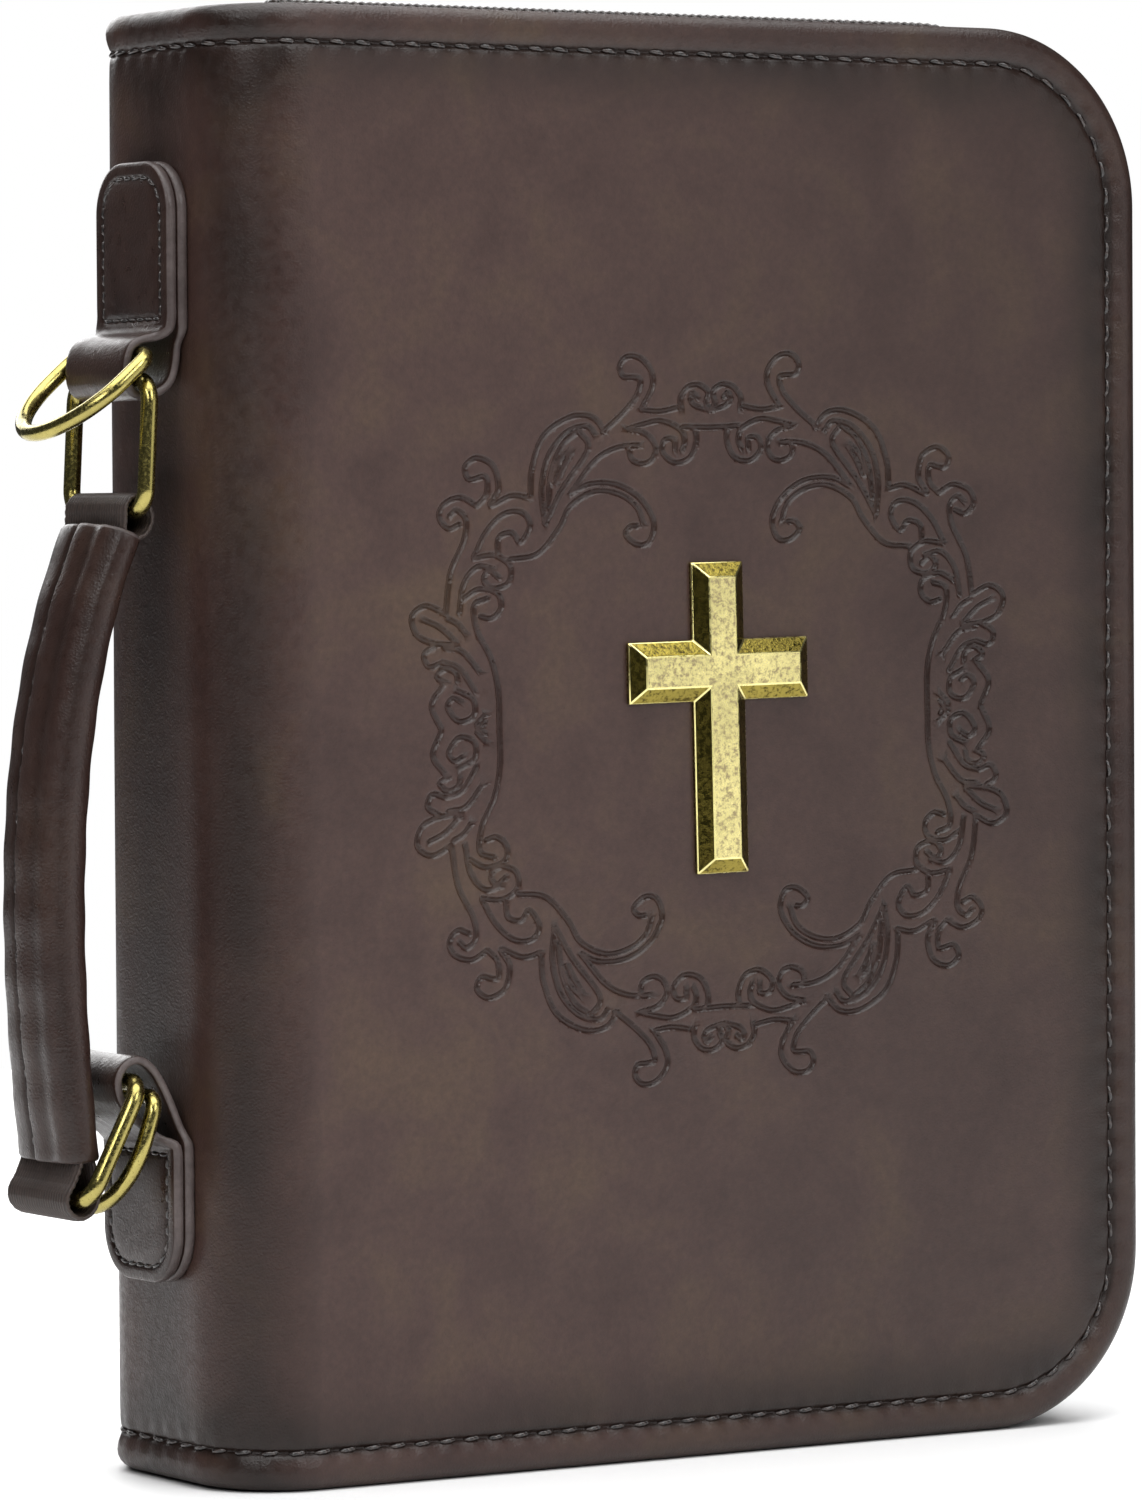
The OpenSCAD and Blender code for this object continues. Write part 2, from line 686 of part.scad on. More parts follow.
spine_leather();
spine_stiffener();
spine_lining();
spine_stitching();
front_leather();
front_board();
front_lining();
front_sleeve();
front_stitching();
front_zip_tape();
front_zip_teeth();
back_leather();
back_board();
back_lining();
back_sleeve();
back_stitching();
back_zip_tape();
back_zip_teeth();
upper_slider();
lower_slider();
upper_pull();
lower_pull();
cross_emblem();
cross_studs();
upper_tab();
lower_tab();
tab_stitching();
upper_rect_ring();
lower_rect_ring();
upper_d_ring();
lower_d_ring();
handle_sleeve();
handle_padding();
handle_webbing();
handle_stitching();
bible_pages();
bible_front_board();
bible_back_board();
bible_spine_cover();
bible_headbands();
bible_ribbon();
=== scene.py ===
"""The looks of a zipped leather Bible cover: soft leather, thread, zip, rings, handle, cross and Bible.

Lengths are in millimetres in the case's own frame: X from the spine's outer face to the fore-edge,
Y from the middle plane (the front is -Y) and Z up from the ground. place() turns them into metres.
"""
import json
import math
import random

import bmesh
import bpy
import numpy as np
from mathutils import Matrix, Vector, geometry, kdtree
from mathutils import noise as perlin

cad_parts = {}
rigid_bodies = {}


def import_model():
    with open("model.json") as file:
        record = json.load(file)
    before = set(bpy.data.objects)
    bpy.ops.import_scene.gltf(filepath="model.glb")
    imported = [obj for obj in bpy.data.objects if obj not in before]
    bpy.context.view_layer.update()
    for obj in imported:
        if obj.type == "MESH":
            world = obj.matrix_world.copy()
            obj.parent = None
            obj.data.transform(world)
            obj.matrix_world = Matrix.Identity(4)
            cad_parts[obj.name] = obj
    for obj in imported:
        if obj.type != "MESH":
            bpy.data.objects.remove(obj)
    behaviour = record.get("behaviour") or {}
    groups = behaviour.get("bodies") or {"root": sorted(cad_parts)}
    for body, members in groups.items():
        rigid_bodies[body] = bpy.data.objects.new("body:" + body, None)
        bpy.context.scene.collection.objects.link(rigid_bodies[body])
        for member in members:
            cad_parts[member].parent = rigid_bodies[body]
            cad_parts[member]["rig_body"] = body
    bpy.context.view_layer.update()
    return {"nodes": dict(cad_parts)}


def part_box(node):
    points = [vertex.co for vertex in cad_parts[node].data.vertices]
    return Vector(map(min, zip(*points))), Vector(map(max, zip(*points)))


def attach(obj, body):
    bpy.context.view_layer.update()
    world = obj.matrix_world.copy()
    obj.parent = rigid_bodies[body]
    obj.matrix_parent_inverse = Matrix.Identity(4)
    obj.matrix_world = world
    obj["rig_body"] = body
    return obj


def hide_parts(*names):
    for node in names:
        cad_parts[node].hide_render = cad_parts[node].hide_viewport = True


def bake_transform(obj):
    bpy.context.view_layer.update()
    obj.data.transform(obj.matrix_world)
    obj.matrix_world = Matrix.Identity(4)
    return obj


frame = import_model()
random.seed(7)

# ---------------------------------------------------------------- sizes taken from the frame
MM = 0.001
FRONT = [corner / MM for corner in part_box("front_leather")]
BACK = [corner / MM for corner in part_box("back_leather")]
SPINE = [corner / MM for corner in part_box("spine_leather")]
TAPE = [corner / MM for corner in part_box("back_zip_tape")]
ORIGIN = np.array([SPINE[0].x, (FRONT[0].y + BACK[1].y) / 2, 0])
HALF_T = (BACK[1].y - FRONT[0].y) / 2
CASE_W = FRONT[1].x - SPINE[0].x
CASE_H = FRONT[1].z
MID_Z = CASE_H / 2
SPINE_R = SPINE[1].x - SPINE[0].x
COVER_T = FRONT[1].y - FRONT[0].y
SPINE_SHORT = SPINE[0].z
CORNER_R = 34.0
SEAM = 7.0

# The leather of one half is a flat sheet: u runs from the spine's middle round to the fore-edge,
# and z is up
FLAT = HALF_T - SPINE_R
FOLD_U = FLAT + SPINE_R * math.pi / 2
SHEET_W = FOLD_U + CASE_W - SPINE_R
SEAM_R = CORNER_R - SEAM
CORNER_U = SHEET_W - CORNER_R
HALF_RUN = CORNER_U + SEAM_R * math.pi / 2 + MID_Z - CORNER_R
STITCHES = round(HALF_RUN / 5.3)
PITCH = HALF_RUN / STITCHES
EDGE_R = 2.3


def place(points):
    """Millimetres in the case's frame to metres in the row's frame."""
    return (np.asarray(points, float) + ORIGIN) * MM


def from_middle(points):
    """(x, z) points whose z is counted from the middle of the case's height."""
    return [(x, MID_Z + z) for x, z in points]


def smooth(t):
    t = np.clip(t, 0, 1)
    return t * t * (3 - 2 * t)


def bell(x, width):
    return np.exp(-(np.asarray(x) / width) ** 2)


# ---------------------------------------------------------------- node materials
class Paint:
    """A material with one Principled shader and short calls that add nodes to it."""

    def __init__(self, name, roughness=0.5, metallic=0.0, **sockets):
        self.material = bpy.data.materials.new(name)
        self.material.use_nodes = True
        self.tree = self.material.node_tree
        self.shader = self.tree.nodes["Principled BSDF"]
        self.set(Roughness=roughness, Metallic=metallic, **sockets)
        self.place = self.add("ShaderNodeTexCoord").outputs["Object"]

    def set(self, **sockets):
        for key, value in sockets.items():
            self.shader.inputs[key.replace("_", " ")].default_value = value

    def add(self, kind, links=None, **values):
        node = self.tree.nodes.new(kind)
        for key, value in values.items():
            setattr(node, key, value)
        for key, value in (links or {}).items():
            if isinstance(value, bpy.types.NodeSocket):
                self.tree.links.new(value, node.inputs[key])
            else:
                node.inputs[key].default_value = value
        return node

    def noise(self, per_mm, detail=3.0, roughness=0.55, vector=None, distortion=0.0):
        return self.add("ShaderNodeTexNoise", {
            "Vector": vector or self.place, "Scale": per_mm / MM, "Detail": detail,
            "Roughness": roughness, "Distortion": distortion}).outputs["Fac"]

    def cells(self, per_mm):
        return self.add("ShaderNodeTexVoronoi", {
            "Vector": self.place, "Scale": per_mm / MM}, feature="F1").outputs["Distance"]

    def stretch(self, x, y, z):
        return self.add("ShaderNodeVectorMath", {0: self.place, 1: (x, y, z)},
                        operation="MULTIPLY").outputs["Vector"]

    def attribute(self, name):
        return self.add("ShaderNodeAttribute", attribute_name=name).outputs["Fac"]

    def math(self, operation, a, b=0.0, clamp=False):
        return self.add("ShaderNodeMath", {0: a, 1: b}, operation=operation, use_clamp=clamp).outputs[0]

    def ramp(self, value, *stops):
        node = self.add("ShaderNodeValToRGB", {"Fac": value})
        ramp = node.color_ramp
        while len(ramp.elements) < len(stops):
            ramp.elements.new(0.5)
        for element, (position, colour) in zip(ramp.elements, stops):
            element.position = position
            level = colour if isinstance(colour, tuple) else (colour,) * 3
            element.color = (*level, 1)
        return node.outputs["Color"]

    def mix(self, factor, a, b, blend="MIX"):
        node = self.add("ShaderNodeMix", data_type="RGBA", blend_type=blend)
        for socket, value in ((node.inputs["Factor"], factor), (node.inputs[6], a), (node.inputs[7], b)):
            if isinstance(value, bpy.types.NodeSocket):
                self.tree.links.new(value, socket)
            else:
                socket.default_value = value if isinstance(value, float) else (*value, 1)
        return node.outputs[2]

    def colour(self, value):
        self.tree.links.new(value, self.shader.inputs["Base Color"])
        return self

    def rough(self, value):
        self.tree.links.new(value, self.shader.inputs["Roughness"])
        return self

    def bump(self, height, strength, depth_mm):
        last = self.shader.inputs["Normal"].links
        links = {"Height": height, "Strength": strength, "Distance": depth_mm * MM}
        if last:
            links["Normal"] = last[0].from_socket
        node = self.add("ShaderNodeBump", links)
        self.tree.links.new(node.outputs["Normal"], self.shader.inputs["Normal"])
        return self


def leather_paint(name, dark, mid, light, roughness=0.42, grain=0.5):
    """Two-tone brown leather: mottled, darker where the mesh's darkening attribute says so (partly real
    burnish, partly painted shade), with a fine pebble grain.
    """
    p = Paint(name, roughness, Specular_IOR_Level=0.34)
    mottle = p.noise(0.035, 6.0, 0.62, distortion=0.4)
    tone = p.ramp(mottle, (0.3, dark), (0.5, mid), (0.72, light))
    fine = p.noise(0.7, 4.0, 0.7)
    tone = p.mix(0.5, tone, p.ramp(fine, (0.3, 0.3), (0.7, 0.62)), "OVERLAY")
    # Painted shade, partly burnish: the mesh's darkening attribute, broken up by noise, pulls the tone
    # towards near-black brown.
    darkening = p.math("MULTIPLY", p.attribute("wear_and_shade"), p.ramp(p.noise(0.06, 4.0), (0.3, 0.7), (0.6, 1.0)))
    tone = p.mix(p.math("MULTIPLY", darkening, 0.95, clamp=True), tone, (0.010, 0.005, 0.0035))
    p.colour(tone)
    satin = p.ramp(p.noise(0.5, 4.0), (0.3, roughness - 0.07), (0.7, roughness + 0.1))
    p.rough(p.mix(p.attribute("gloss"), satin, (0.16, 0.16, 0.16)))
    pebbles = p.math("ADD", p.cells(1.9), p.noise(3.2, 2.0))
    p.bump(p.noise(0.22, 4.0), 0.3, 0.25)
    p.bump(pebbles, grain, 0.08)
    return p.material


def brass_paint(name, bright, dull, speckle, roughness=0.25, tarnish=0.5):
    """Antique brass: brighter where it is rubbed, with dark specks of tarnish."""
    p = Paint(name, roughness, 1.0)
    specks = p.ramp(p.noise(speckle, 4.0, 0.75), (tarnish - 0.09, 0.0), (tarnish + 0.06, 1.0))
    clouds = p.ramp(p.noise(0.12, 3.0), (0.35, 0.0), (0.65, 1.0))
    base = p.mix(clouds, bright, tuple(0.78 * c for c in bright))
    p.colour(p.mix(specks, dull, base))
    p.rough(p.ramp(p.noise(speckle, 3.0), (0.35, roughness + 0.16), (0.65, roughness - 0.05)))
    p.bump(p.noise(speckle, 3.0, 0.7), 0.35, 0.05)
    return p.material


def woven_paint(name, dark, light, threads_mm, along="xz", roughness=0.8, depth=0.12):
    """Plain woven cloth: two crossed sets of threads."""
    p = Paint(name, roughness, Sheen_Weight=0.06, Sheen_Roughness=0.5)
    split = p.add("ShaderNodeSeparateXYZ", {0: p.place}).outputs
    waves = []
    for axis in along:
        turns = p.math("MULTIPLY", split["xyz".index(axis)], 2 * math.pi * threads_mm / MM)
        waves.append(p.math("SINE", turns))
    weave = p.math("MULTIPLY", waves[0], waves[1])
    level = p.math("ADD", p.math("MULTIPLY", weave, 0.35), p.noise(0.8, 4.0))
    p.colour(p.ramp(level, (0.2, dark), (0.85, light)))
    p.bump(weave, 0.6, depth)
    p.bump(p.noise(1.5, 3.0), 0.3, 0.08)
    return p.material


def thread_paint(name):
    p = Paint(name, 0.36, Specular_IOR_Level=0.7, Coat_Weight=0.25, Coat_Roughness=0.25)
    twist = p.add("ShaderNodeTexWave", {"Vector": p.stretch(1, 1, 0.8), "Scale": 520.0, "Distortion": 1.2},
                  bands_direction="DIAGONAL").outputs["Fac"]
    p.colour(p.ramp(twist, (0.2, (0.006, 0.003, 0.0025)), (0.9, (0.032, 0.021, 0.018))))
    p.bump(twist, 0.7, 0.12)
    return p.material


def page_paint():
    """Thin leaves, seen on edge as fine lines that run up the book."""
    p = Paint("page edges", 0.75)
    leaves = p.noise(1.0, 2.0, vector=p.stretch(0.001, 9.0, 0.001))
    gatherings = p.noise(1.0, 2.0, vector=p.stretch(0.001, 0.8, 0.001))
    tone = p.ramp(leaves, (0.3, (0.50, 0.43, 0.31)), (0.6, (0.83, 0.77, 0.63)))
    p.colour(p.mix(0.3, tone, p.ramp(gatherings, (0.35, (0.55, 0.46, 0.32)), (0.6, (0.9, 0.85, 0.72)))))
    p.rough(p.ramp(p.noise(1.2, 4.0), (0.3, 0.68), (0.7, 0.82)))
    p.bump(leaves, 0.8, 0.15)
    return p.material


def board_paint(name, dark, light, per_mm=0.5):
    """Pressed fibre board: flecks in two tones."""
    p = Paint(name, 0.85)
    p.colour(p.ramp(p.noise(per_mm, 6.0, 0.7), (0.3, dark), (0.7, light)))
    p.bump(p.noise(per_mm * 3, 4.0), 0.3, 0.1)
    return p.material


LEATHER = leather_paint("brown leather", (0.038, 0.019, 0.016), (0.054, 0.029, 0.024),
                        (0.071, 0.042, 0.027), 0.36)
HANDLE_LEATHER = leather_paint("handle leather", (0.020, 0.010, 0.008), (0.030, 0.016, 0.013),
                               (0.042, 0.024, 0.018), 0.32)
CUT_EDGE = leather_paint("painted leather edge", (0.040, 0.028, 0.026), (0.085, 0.066, 0.063),
                         (0.16, 0.13, 0.125), 0.36)
THREAD = thread_paint("waxed thread")
BRASS = brass_paint("antique brass wire", (0.40, 0.34, 0.11), (0.17, 0.14, 0.045), 1.6, 0.17, 0.36)
CROSS_FACE = brass_paint("speckled cross face", (0.86, 0.76, 0.33), (0.36, 0.29, 0.16), 1.1, 0.3, 0.47)
# The bevels are darker brass than the face: painted shade, for the dark surroundings they reflect.
CROSS_SHADED_BEVEL = brass_paint("shaded cross bevel", (0.30, 0.24, 0.05), (0.05, 0.036, 0.008), 1.0, 0.11, 0.45)
CROSS_EDGE = brass_paint("rubbed cross edge", (0.90, 0.80, 0.34), (0.60, 0.50, 0.16), 0.5, 0.2, 0.3)
ZIP_METAL = brass_paint("zip slider brass", (0.55, 0.45, 0.14), (0.12, 0.09, 0.02), 0.5, 0.28, 0.42)
WEBBING = woven_paint("nylon webbing", (0.006, 0.0035, 0.0025), (0.034, 0.020, 0.015), 0.52, "yy", 0.5)
TAPE_CLOTH = woven_paint("zip tape cloth", (0.010, 0.006, 0.005), (0.050, 0.034, 0.028), 0.9, "xy", 0.7)
COIL = woven_paint("zip coil", (0.008, 0.005, 0.004), (0.045, 0.032, 0.028), 0.4, "xz", 0.35, 0.05)
LINING = woven_paint("lining cloth", (0.020, 0.013, 0.010), (0.060, 0.043, 0.036), 0.8, "xz", 0.85)
BOOKCLOTH = woven_paint("book cloth", (0.006, 0.006, 0.008), (0.035, 0.034, 0.040), 0.7, "xz", 0.6)
BAND = woven_paint("headband silk", (0.30, 0.22, 0.10), (0.75, 0.65, 0.42), 0.8, "yz", 0.5)
RIBBON = woven_paint("ribbon satin", (0.12, 0.006, 0.010), (0.35, 0.020, 0.030), 1.2, "xz", 0.35, 0.04)
BOARD = board_paint("grey board", (0.20, 0.16, 0.11), (0.42, 0.35, 0.26))
FOAM = board_paint("handle foam", (0.03, 0.03, 0.03), (0.09, 0.09, 0.09), 1.2)
PAGES = page_paint()


# ---------------------------------------------------------------- mesh makers
def piece(name, verts, faces, materials, face_material=None, wear_and_shade=None, gloss=None):
    """A mesh object from points in millimetres."""
    mesh = bpy.data.meshes.new(name)
    mesh.from_pydata(place(verts).tolist(), [], [tuple(map(int, f)) for f in faces])
    for material in materials if isinstance(materials, (list, tuple)) else [materials]:
        mesh.materials.append(material)
    mesh.polygons.foreach_set("use_smooth", [True] * len(mesh.polygons))
    if face_material is not None:
        mesh.polygons.foreach_set("material_index", np.asarray(face_material, np.int32))
    for key, value in (("wear_and_shade", wear_and_shade), ("gloss", gloss)):
        if value is not None:
            layer = mesh.attributes.new(key, "FLOAT", "POINT")
            layer.data.foreach_set("value", np.asarray(value, np.float32))
    mesh.update()
    made = bpy.data.objects.new(name, mesh)
    bpy.context.scene.collection.objects.link(made)
    return made


def tidy_normals(made):
    """Turns a closed piece's faces outwards."""
    bm = bmesh.new()
    bm.from_mesh(made.data)
    bmesh.ops.recalc_face_normals(bm, faces=bm.faces)
    bm.to_mesh(made.data)
    bm.free()
    return made


def join(parts):
    """Several (verts, faces) as one."""
    verts, faces, start = [], [], 0
    for v, f in parts:
        verts.append(np.asarray(v, float))
        faces.extend([i + start for i in face] for face in f)
        start += len(v)
    return np.concatenate(verts), faces


def grid_faces(rows, columns, around=False):
    """Quads between rows of points; around joins each row's last point to its first."""
    faces = []
    for i in range(rows - 1):
        for k in range(columns if around else columns - 1):
            a, b = i * columns + k, i * columns + (k + 1) % columns
            faces.append([a, b, b + columns, a + columns])
    return faces


def spline(points, step, closed=False):
    """Points every step along a smooth curve through the given ones."""
    pts = [np.array(p, float) for p in points]
    n = len(pts)
    out = []
    for i in range(n if closed else n - 1):
        p1, p2 = pts[i], pts[(i + 1) % n]
        p0 = pts[i - 1] if closed or i > 0 else 2 * p1 - p2
        p3 = pts[(i + 2) % n] if closed or i + 2 < n else 2 * p2 - p1
        count = max(2, round(np.linalg.norm(p2 - p1) / step))
        for t in np.arange(count) / count:
            out.append(0.5 * (2 * p1 + (p2 - p0) * t + (2 * p0 - 5 * p1 + 4 * p2 - p3) * t * t
                              + (3 * p1 - p0 - 3 * p2 + p3) * t ** 3))
    if not closed:
        out.append(pts[-1])
    return np.array(out)


class Line:
    """A line in X and Z, by the length along it. Its normal points left of the way it runs."""

    def __init__(self, points):
        self.points = np.asarray(points, float)
        self.run = np.concatenate([[0], np.cumsum(np.linalg.norm(np.diff(self.points, axis=0), axis=1))])
        self.length = self.run[-1]
        slope = np.gradient(self.points, self.run, axis=0)
        self.along = slope / np.linalg.norm(slope, axis=1)[:, None]

    def at(self, run, offset=0.0):
        x, z, dx, dz = (np.interp(run, self.run, col) for col in (*self.points.T, *self.along.T))
        return x + dz * offset, z - dx * offset


def triangulate(points, outline):
    """Triangles over points in a plane, inside the outline given as indexes of points."""
    made = geometry.delaunay_2d_cdt([Vector(p) for p in points], [], [list(outline)], 1, 1e-5)
    return np.array([tuple(v) for v in made[0]]), [list(f) for f in made[2]]


def closed_tube(path, radius, sides=20):
    """A wire of round section along a closed path."""
    path = np.asarray(path, float)
    along = np.roll(path, -1, 0) - np.roll(path, 1, 0)
    along /= np.linalg.norm(along, axis=1)[:, None]
    middle = path.mean(0)
    flat = np.cross(path[0] - middle, path[len(path) // 4] - middle)
    flat /= np.linalg.norm(flat)
    side = np.cross(along, flat)
    turns = np.arange(sides) * 2 * math.pi / sides
    ring = np.cos(turns)[None, :, None] * side[:, None] + np.sin(turns)[None, :, None] * flat
    verts = (path[:, None] + radius * ring).reshape(-1, 3)
    faces = grid_faces(len(path), sides, True)
    last = (len(path) - 1) * sides
    faces += [[last + k, last + (k + 1) % sides, (k + 1) % sides, k] for k in range(sides)]
    return verts, faces


def bar_shape(length, radius, arch=0.0, sides=8, stations=7):
    """A rod with round ends along the first axis, whose ends dip by arch: rows of (along, across, up)."""
    t = np.cos(np.linspace(math.pi, 0, stations))
    along = t * length / 2
    size = radius * np.sqrt(np.clip(1 - np.abs(t) ** 5, 0.02, 1))
    turns = np.arange(sides) * 2 * math.pi / sides
    across = size[:, None] * np.cos(turns)
    up = size[:, None] * np.sin(turns) - arch * (t ** 4)[:, None]
    verts = np.stack([np.repeat(along, sides), across.ravel(), up.ravel()], 1)
    faces = grid_faces(stations, sides, True)
    faces += [list(range(sides))[::-1], [(stations - 1) * sides + k for k in range(sides)]]
    return verts, faces


# ---------------------------------------------------------------- the leather sheet of one half
def recess(u):
    """How far the sheet's top and bottom edges stand back, at the spine only."""
    return SPINE_SHORT * (1 - smooth((u - FLAT) / (FOLD_U - FLAT)))


def row(inset, run):
    """(u, z) at a distance from the top half's edge, by the run along the stitched line."""
    turn = np.clip((run - CORNER_U) / SEAM_R, 0, math.pi / 2)
    down = np.maximum(run - CORNER_U - SEAM_R * math.pi / 2, 0)
    u = np.minimum(run, CORNER_U) + (CORNER_R - inset) * np.sin(turn)
    top = CASE_H - recess(np.minimum(run, CORNER_U)) - CORNER_R
    return u, top + (CORNER_R - inset) * np.cos(turn) - down


def full_row(inset, steps):
    """(u, z) all the way round the edge, from the spine's top to the spine's bottom."""
    u, z = row(inset, np.linspace(0, HALF_RUN, steps + 1))
    return np.concatenate([u, u[-2::-1]]), np.concatenate([z, CASE_H - z[-2::-1]])


def edge_place(u, z):
    """The distance from the sheet's edge, and the run along the stitched line."""
    qu = u - CORNER_U
    qw = np.abs(z - MID_Z) - (MID_Z - recess(u) - CORNER_R)
    out_u, out_w = np.maximum(qu, 0), np.maximum(qw, 0)
    inset = CORNER_R - np.hypot(out_u, out_w) - np.minimum(np.maximum(qu, qw), 0)
    turn = np.arctan2(out_u, np.maximum(out_w, 1e-9))
    run = np.minimum(u, CORNER_U) + SEAM_R * turn + np.where(qu > 0, np.maximum(-qw, 0), 0)
    return inset, run


def folded(u, z, height, side):
    """A point of the sheet, at a height above its outer face, bent round the spine."""
    turn = np.clip((u - FLAT) / SPINE_R, 0, math.pi / 2)
    radius = SPINE_R + height
    x = SPINE_R - radius * np.cos(turn) + np.maximum(u - FOLD_U, 0)
    y = np.minimum(u, FLAT) + radius * np.sin(turn)
    return np.stack([x, side * y, z + np.zeros_like(x)], -1)


def seam_relief(inset, run):
    """The rolled edge, the puffed rim, and the stitched groove with its puckers."""
    near = EDGE_R - np.minimum(inset, EDGE_R)
    roll = EDGE_R - np.sqrt(np.maximum(EDGE_R ** 2 - near ** 2, 0))
    pull = np.cos(math.pi * run / PITCH) ** 2
    rim = 0.55 * np.sin(math.pi * np.clip(inset / SEAM, 0, 1)) ** 2
    seam = 0.40 * bell(inset - SEAM, 1.3) * (0.55 + 0.45 * pull)
    slit = 0.75 * bell(inset - SEAM, 0.5) * (0.7 + 0.3 * pull)
    puckers = pull * (0.20 * bell(inset - SEAM + 2, 1.3) + 0.16 * bell(inset - SEAM - 2, 1.5))
    return rim - roll - seam - slit - puckers


def swell(u, z, seed):
    """Slow waves in soft leather, under a fifth of a millimetre."""
    return np.array([0.16 * perlin.noise(Vector((a / 45, b / 45, seed))) for a, b in zip(u, z)])


def sheet_points(insets, steps, coarse, fine, keep_out):
    """Points of the sheet: rows round its edge, then a grid, closer together where the spine bends."""
    rows = [full_row(e, steps) for e in insets]
    u = [r[0] for r in rows]
    z = [r[1] for r in rows]
    columns = np.concatenate([np.arange(0, FLAT - 4, coarse), np.arange(FLAT - 4, FOLD_U + 8, fine),
                              np.arange(FOLD_U + 8, SHEET_W, coarse)])
    gu, gz = np.meshgrid(columns, np.arange(0, CASE_H + coarse, coarse) + 0.37)
    gu, gz = gu.ravel(), gz.ravel()
    inside = edge_place(gu, gz)[0] > keep_out
    return np.concatenate(u + [gu[inside]]), np.concatenate(z + [gz[inside]])


# ---------------------------------------------------------------- pressed wreath on the front
# One quarter of the wreath, up and to the left of its middle
WREATH = [
    # crest scroll at the top, and the band that joins it to the middle
    [(-24, 54), (-20, 57), (-16.5, 60.5), (-15.5, 63.5), (-17, 64)],
    [(-17, 64), (-19.3, 64.2), (-20, 66), (-18.5, 67.8), (-15.5, 67.6), (-13, 65), (-13, 62), (-15.5, 58)],
    [(-15.5, 58), (-11.5, 57.6), (-7.5, 58.2)],
    # small curls of the crest
    [(-6.5, 57.8), (-6.7, 60), (-5, 62), (-2.5, 62.4), (-0.5, 61), (-1, 59), (0, 57.6)],
    [(-2.9, 60), (-4, 60.8), (-4.4, 59.5), (-3.2, 58.4), (0, 57.6)],
    [(-6.3, 54.6), (0, 54.4)],
    [(-3.7, 54.5), (-3.4, 51.8), (-5, 48.8), (-8.4, 48), (-11, 50), (-10.5, 52.2), (-8.4, 52.3),
     (-8.2, 50.4)],
    [(-6.6, 50.4), (-6, 52), (-7, 54.2), (-11, 55.8), (-15, 55.3), (-18.4, 54.4)],
    [(-18.4, 54.4), (-14.5, 53.4), (-12.5, 51), (-13.4, 48.6), (-15.7, 47.9), (-18, 49), (-18, 51.2),
     (-15.8, 51.3)],
    [(-15.8, 51.3), (-21, 51), (-26, 48.6), (-31.3, 42.7)],
    # long C scroll that turns in under the leaf
    [(-31.3, 42.7), (-27, 44.4), (-21, 44.1), (-16, 41.3), (-13.3, 37), (-14.3, 33.4), (-17, 32.9),
     (-19.5, 34.8), (-18.4, 36.3), (-16.8, 36.3)],
    [(-15.5, 36.6), (-17, 40), (-20.8, 42.4), (-26, 43), (-31.3, 40.5), (-34, 36.4), (-38.7, 31.8),
     (-44.7, 30.9)],
    # leaf
    [(-40, 42.6), (-39.6, 47.5), (-37, 53.4), (-31.3, 56.8), (-26.4, 56.8), (-23.4, 54)],
    [(-37, 37.2), (-37.6, 43.5), (-36, 49.7), (-32, 54), (-27.6, 55.1), (-25.6, 53.4)],
    [(-37, 37.2), (-33, 43.7), (-27.4, 50.8), (-29.2, 54.2)],
    [(-36.3, 40.3), (-35.4, 46.5), (-33, 51.6), (-30, 53.9)],
    [(-35, 45), (-33.7, 48.4), (-31.2, 50.8)],
    [(-34.2, 44.6), (-32.8, 47.4), (-30.9, 50.3)],
    # upright scroll beside the leaf
    [(-40, 42), (-44, 42.6), (-48.7, 40.9), (-46.9, 44), (-48, 48.2), (-51.5, 49.7), (-54, 48),
     (-53, 45.8), (-49.6, 46.2), (-49.5, 43), (-51.6, 40.9)],
    # shoulder scroll, and the outer stem
    [(-51.6, 40.9), (-55, 42.5), (-58.6, 41.4), (-59.7, 39), (-57.8, 36.9), (-55.4, 37.6)],
    [(-57.4, 39.2), (-55.9, 40.2), (-54, 38.4), (-54.6, 34.5), (-57.6, 28.7), (-58.8, 21.3)],
    # comma and curls inside the shoulder
    [(-52.6, 31.3), (-49.8, 36), (-46, 39.2), (-42, 39.5), (-40.3, 37), (-42.4, 34), (-44.2, 35.8),
     (-47, 35), (-47.4, 31.8)],
    [(-52.6, 31.3), (-48, 31.7), (-44.8, 29.7), (-45.2, 26.6), (-48.7, 25.7), (-50.5, 27.4),
     (-49.2, 28.9), (-47.2, 27.6)],
    [(-55.9, 21.3), (-54.8, 26.6), (-51.8, 29.7), (-48.2, 29.2)],
    [(-54.7, 24.1), (-51.5, 25.6), (-47.6, 24.7), (-46.9, 22), (-49, 20.2), (-51.3, 20.6)],
    [(-49.7, 23.9), (-52.7, 22.6), (-52.2, 18), (-49.4, 12.8), (-48, 7), (-47.9, 0)],
    # side leaf
    [(-58.8, 21.3), (-63, 22.9), (-66, 21), (-65, 17.6), (-61.5, 16), (-56.6, 15.5)],
    [(-63.4, 20.3), (-60, 18.8), (-56.6, 15.9)],
    [(-58.2, 20.3), (-56.2, 19.3), (-54.5, 17.4)],
    # curls down the side
    [(-60.8, 15.8), (-63.6, 14), (-62.6, 11.7), (-59.7, 12.4)],
    [(-59.2, 15), (-55.4, 14.2), (-51.8, 10.3)],
    [(-59.7, 12.4), (-56.2, 11.2), (-52.9, 6.8)],
    [(-59.2, 8.7), (-61, 9.8), (-59.2, 11.2), (-57, 10.4), (-56.6, 8.7)],
    [(-59.7, 8.2), (-62.3, 4.6), (-60.4, 0.3)],
    [(-56.6, 7.1), (-53.4, 5.4), (-53.4, 2.4), (-56.6, 1.5), (-58.9, 4.2), (-57.6, 5.8), (-55.8, 5)],
    [(-51, 2.4), (-52.6, 0.6), (-51, -1)],
]
WREATH_X = (SPINE_R + CASE_W) / 2 - 5.5
WREATH_Z = MID_Z + 3.9
WREATH_TILT = math.radians(1.1)
GROOVE_HALF = 0.52
GROOVE_DEPTH = 0.75


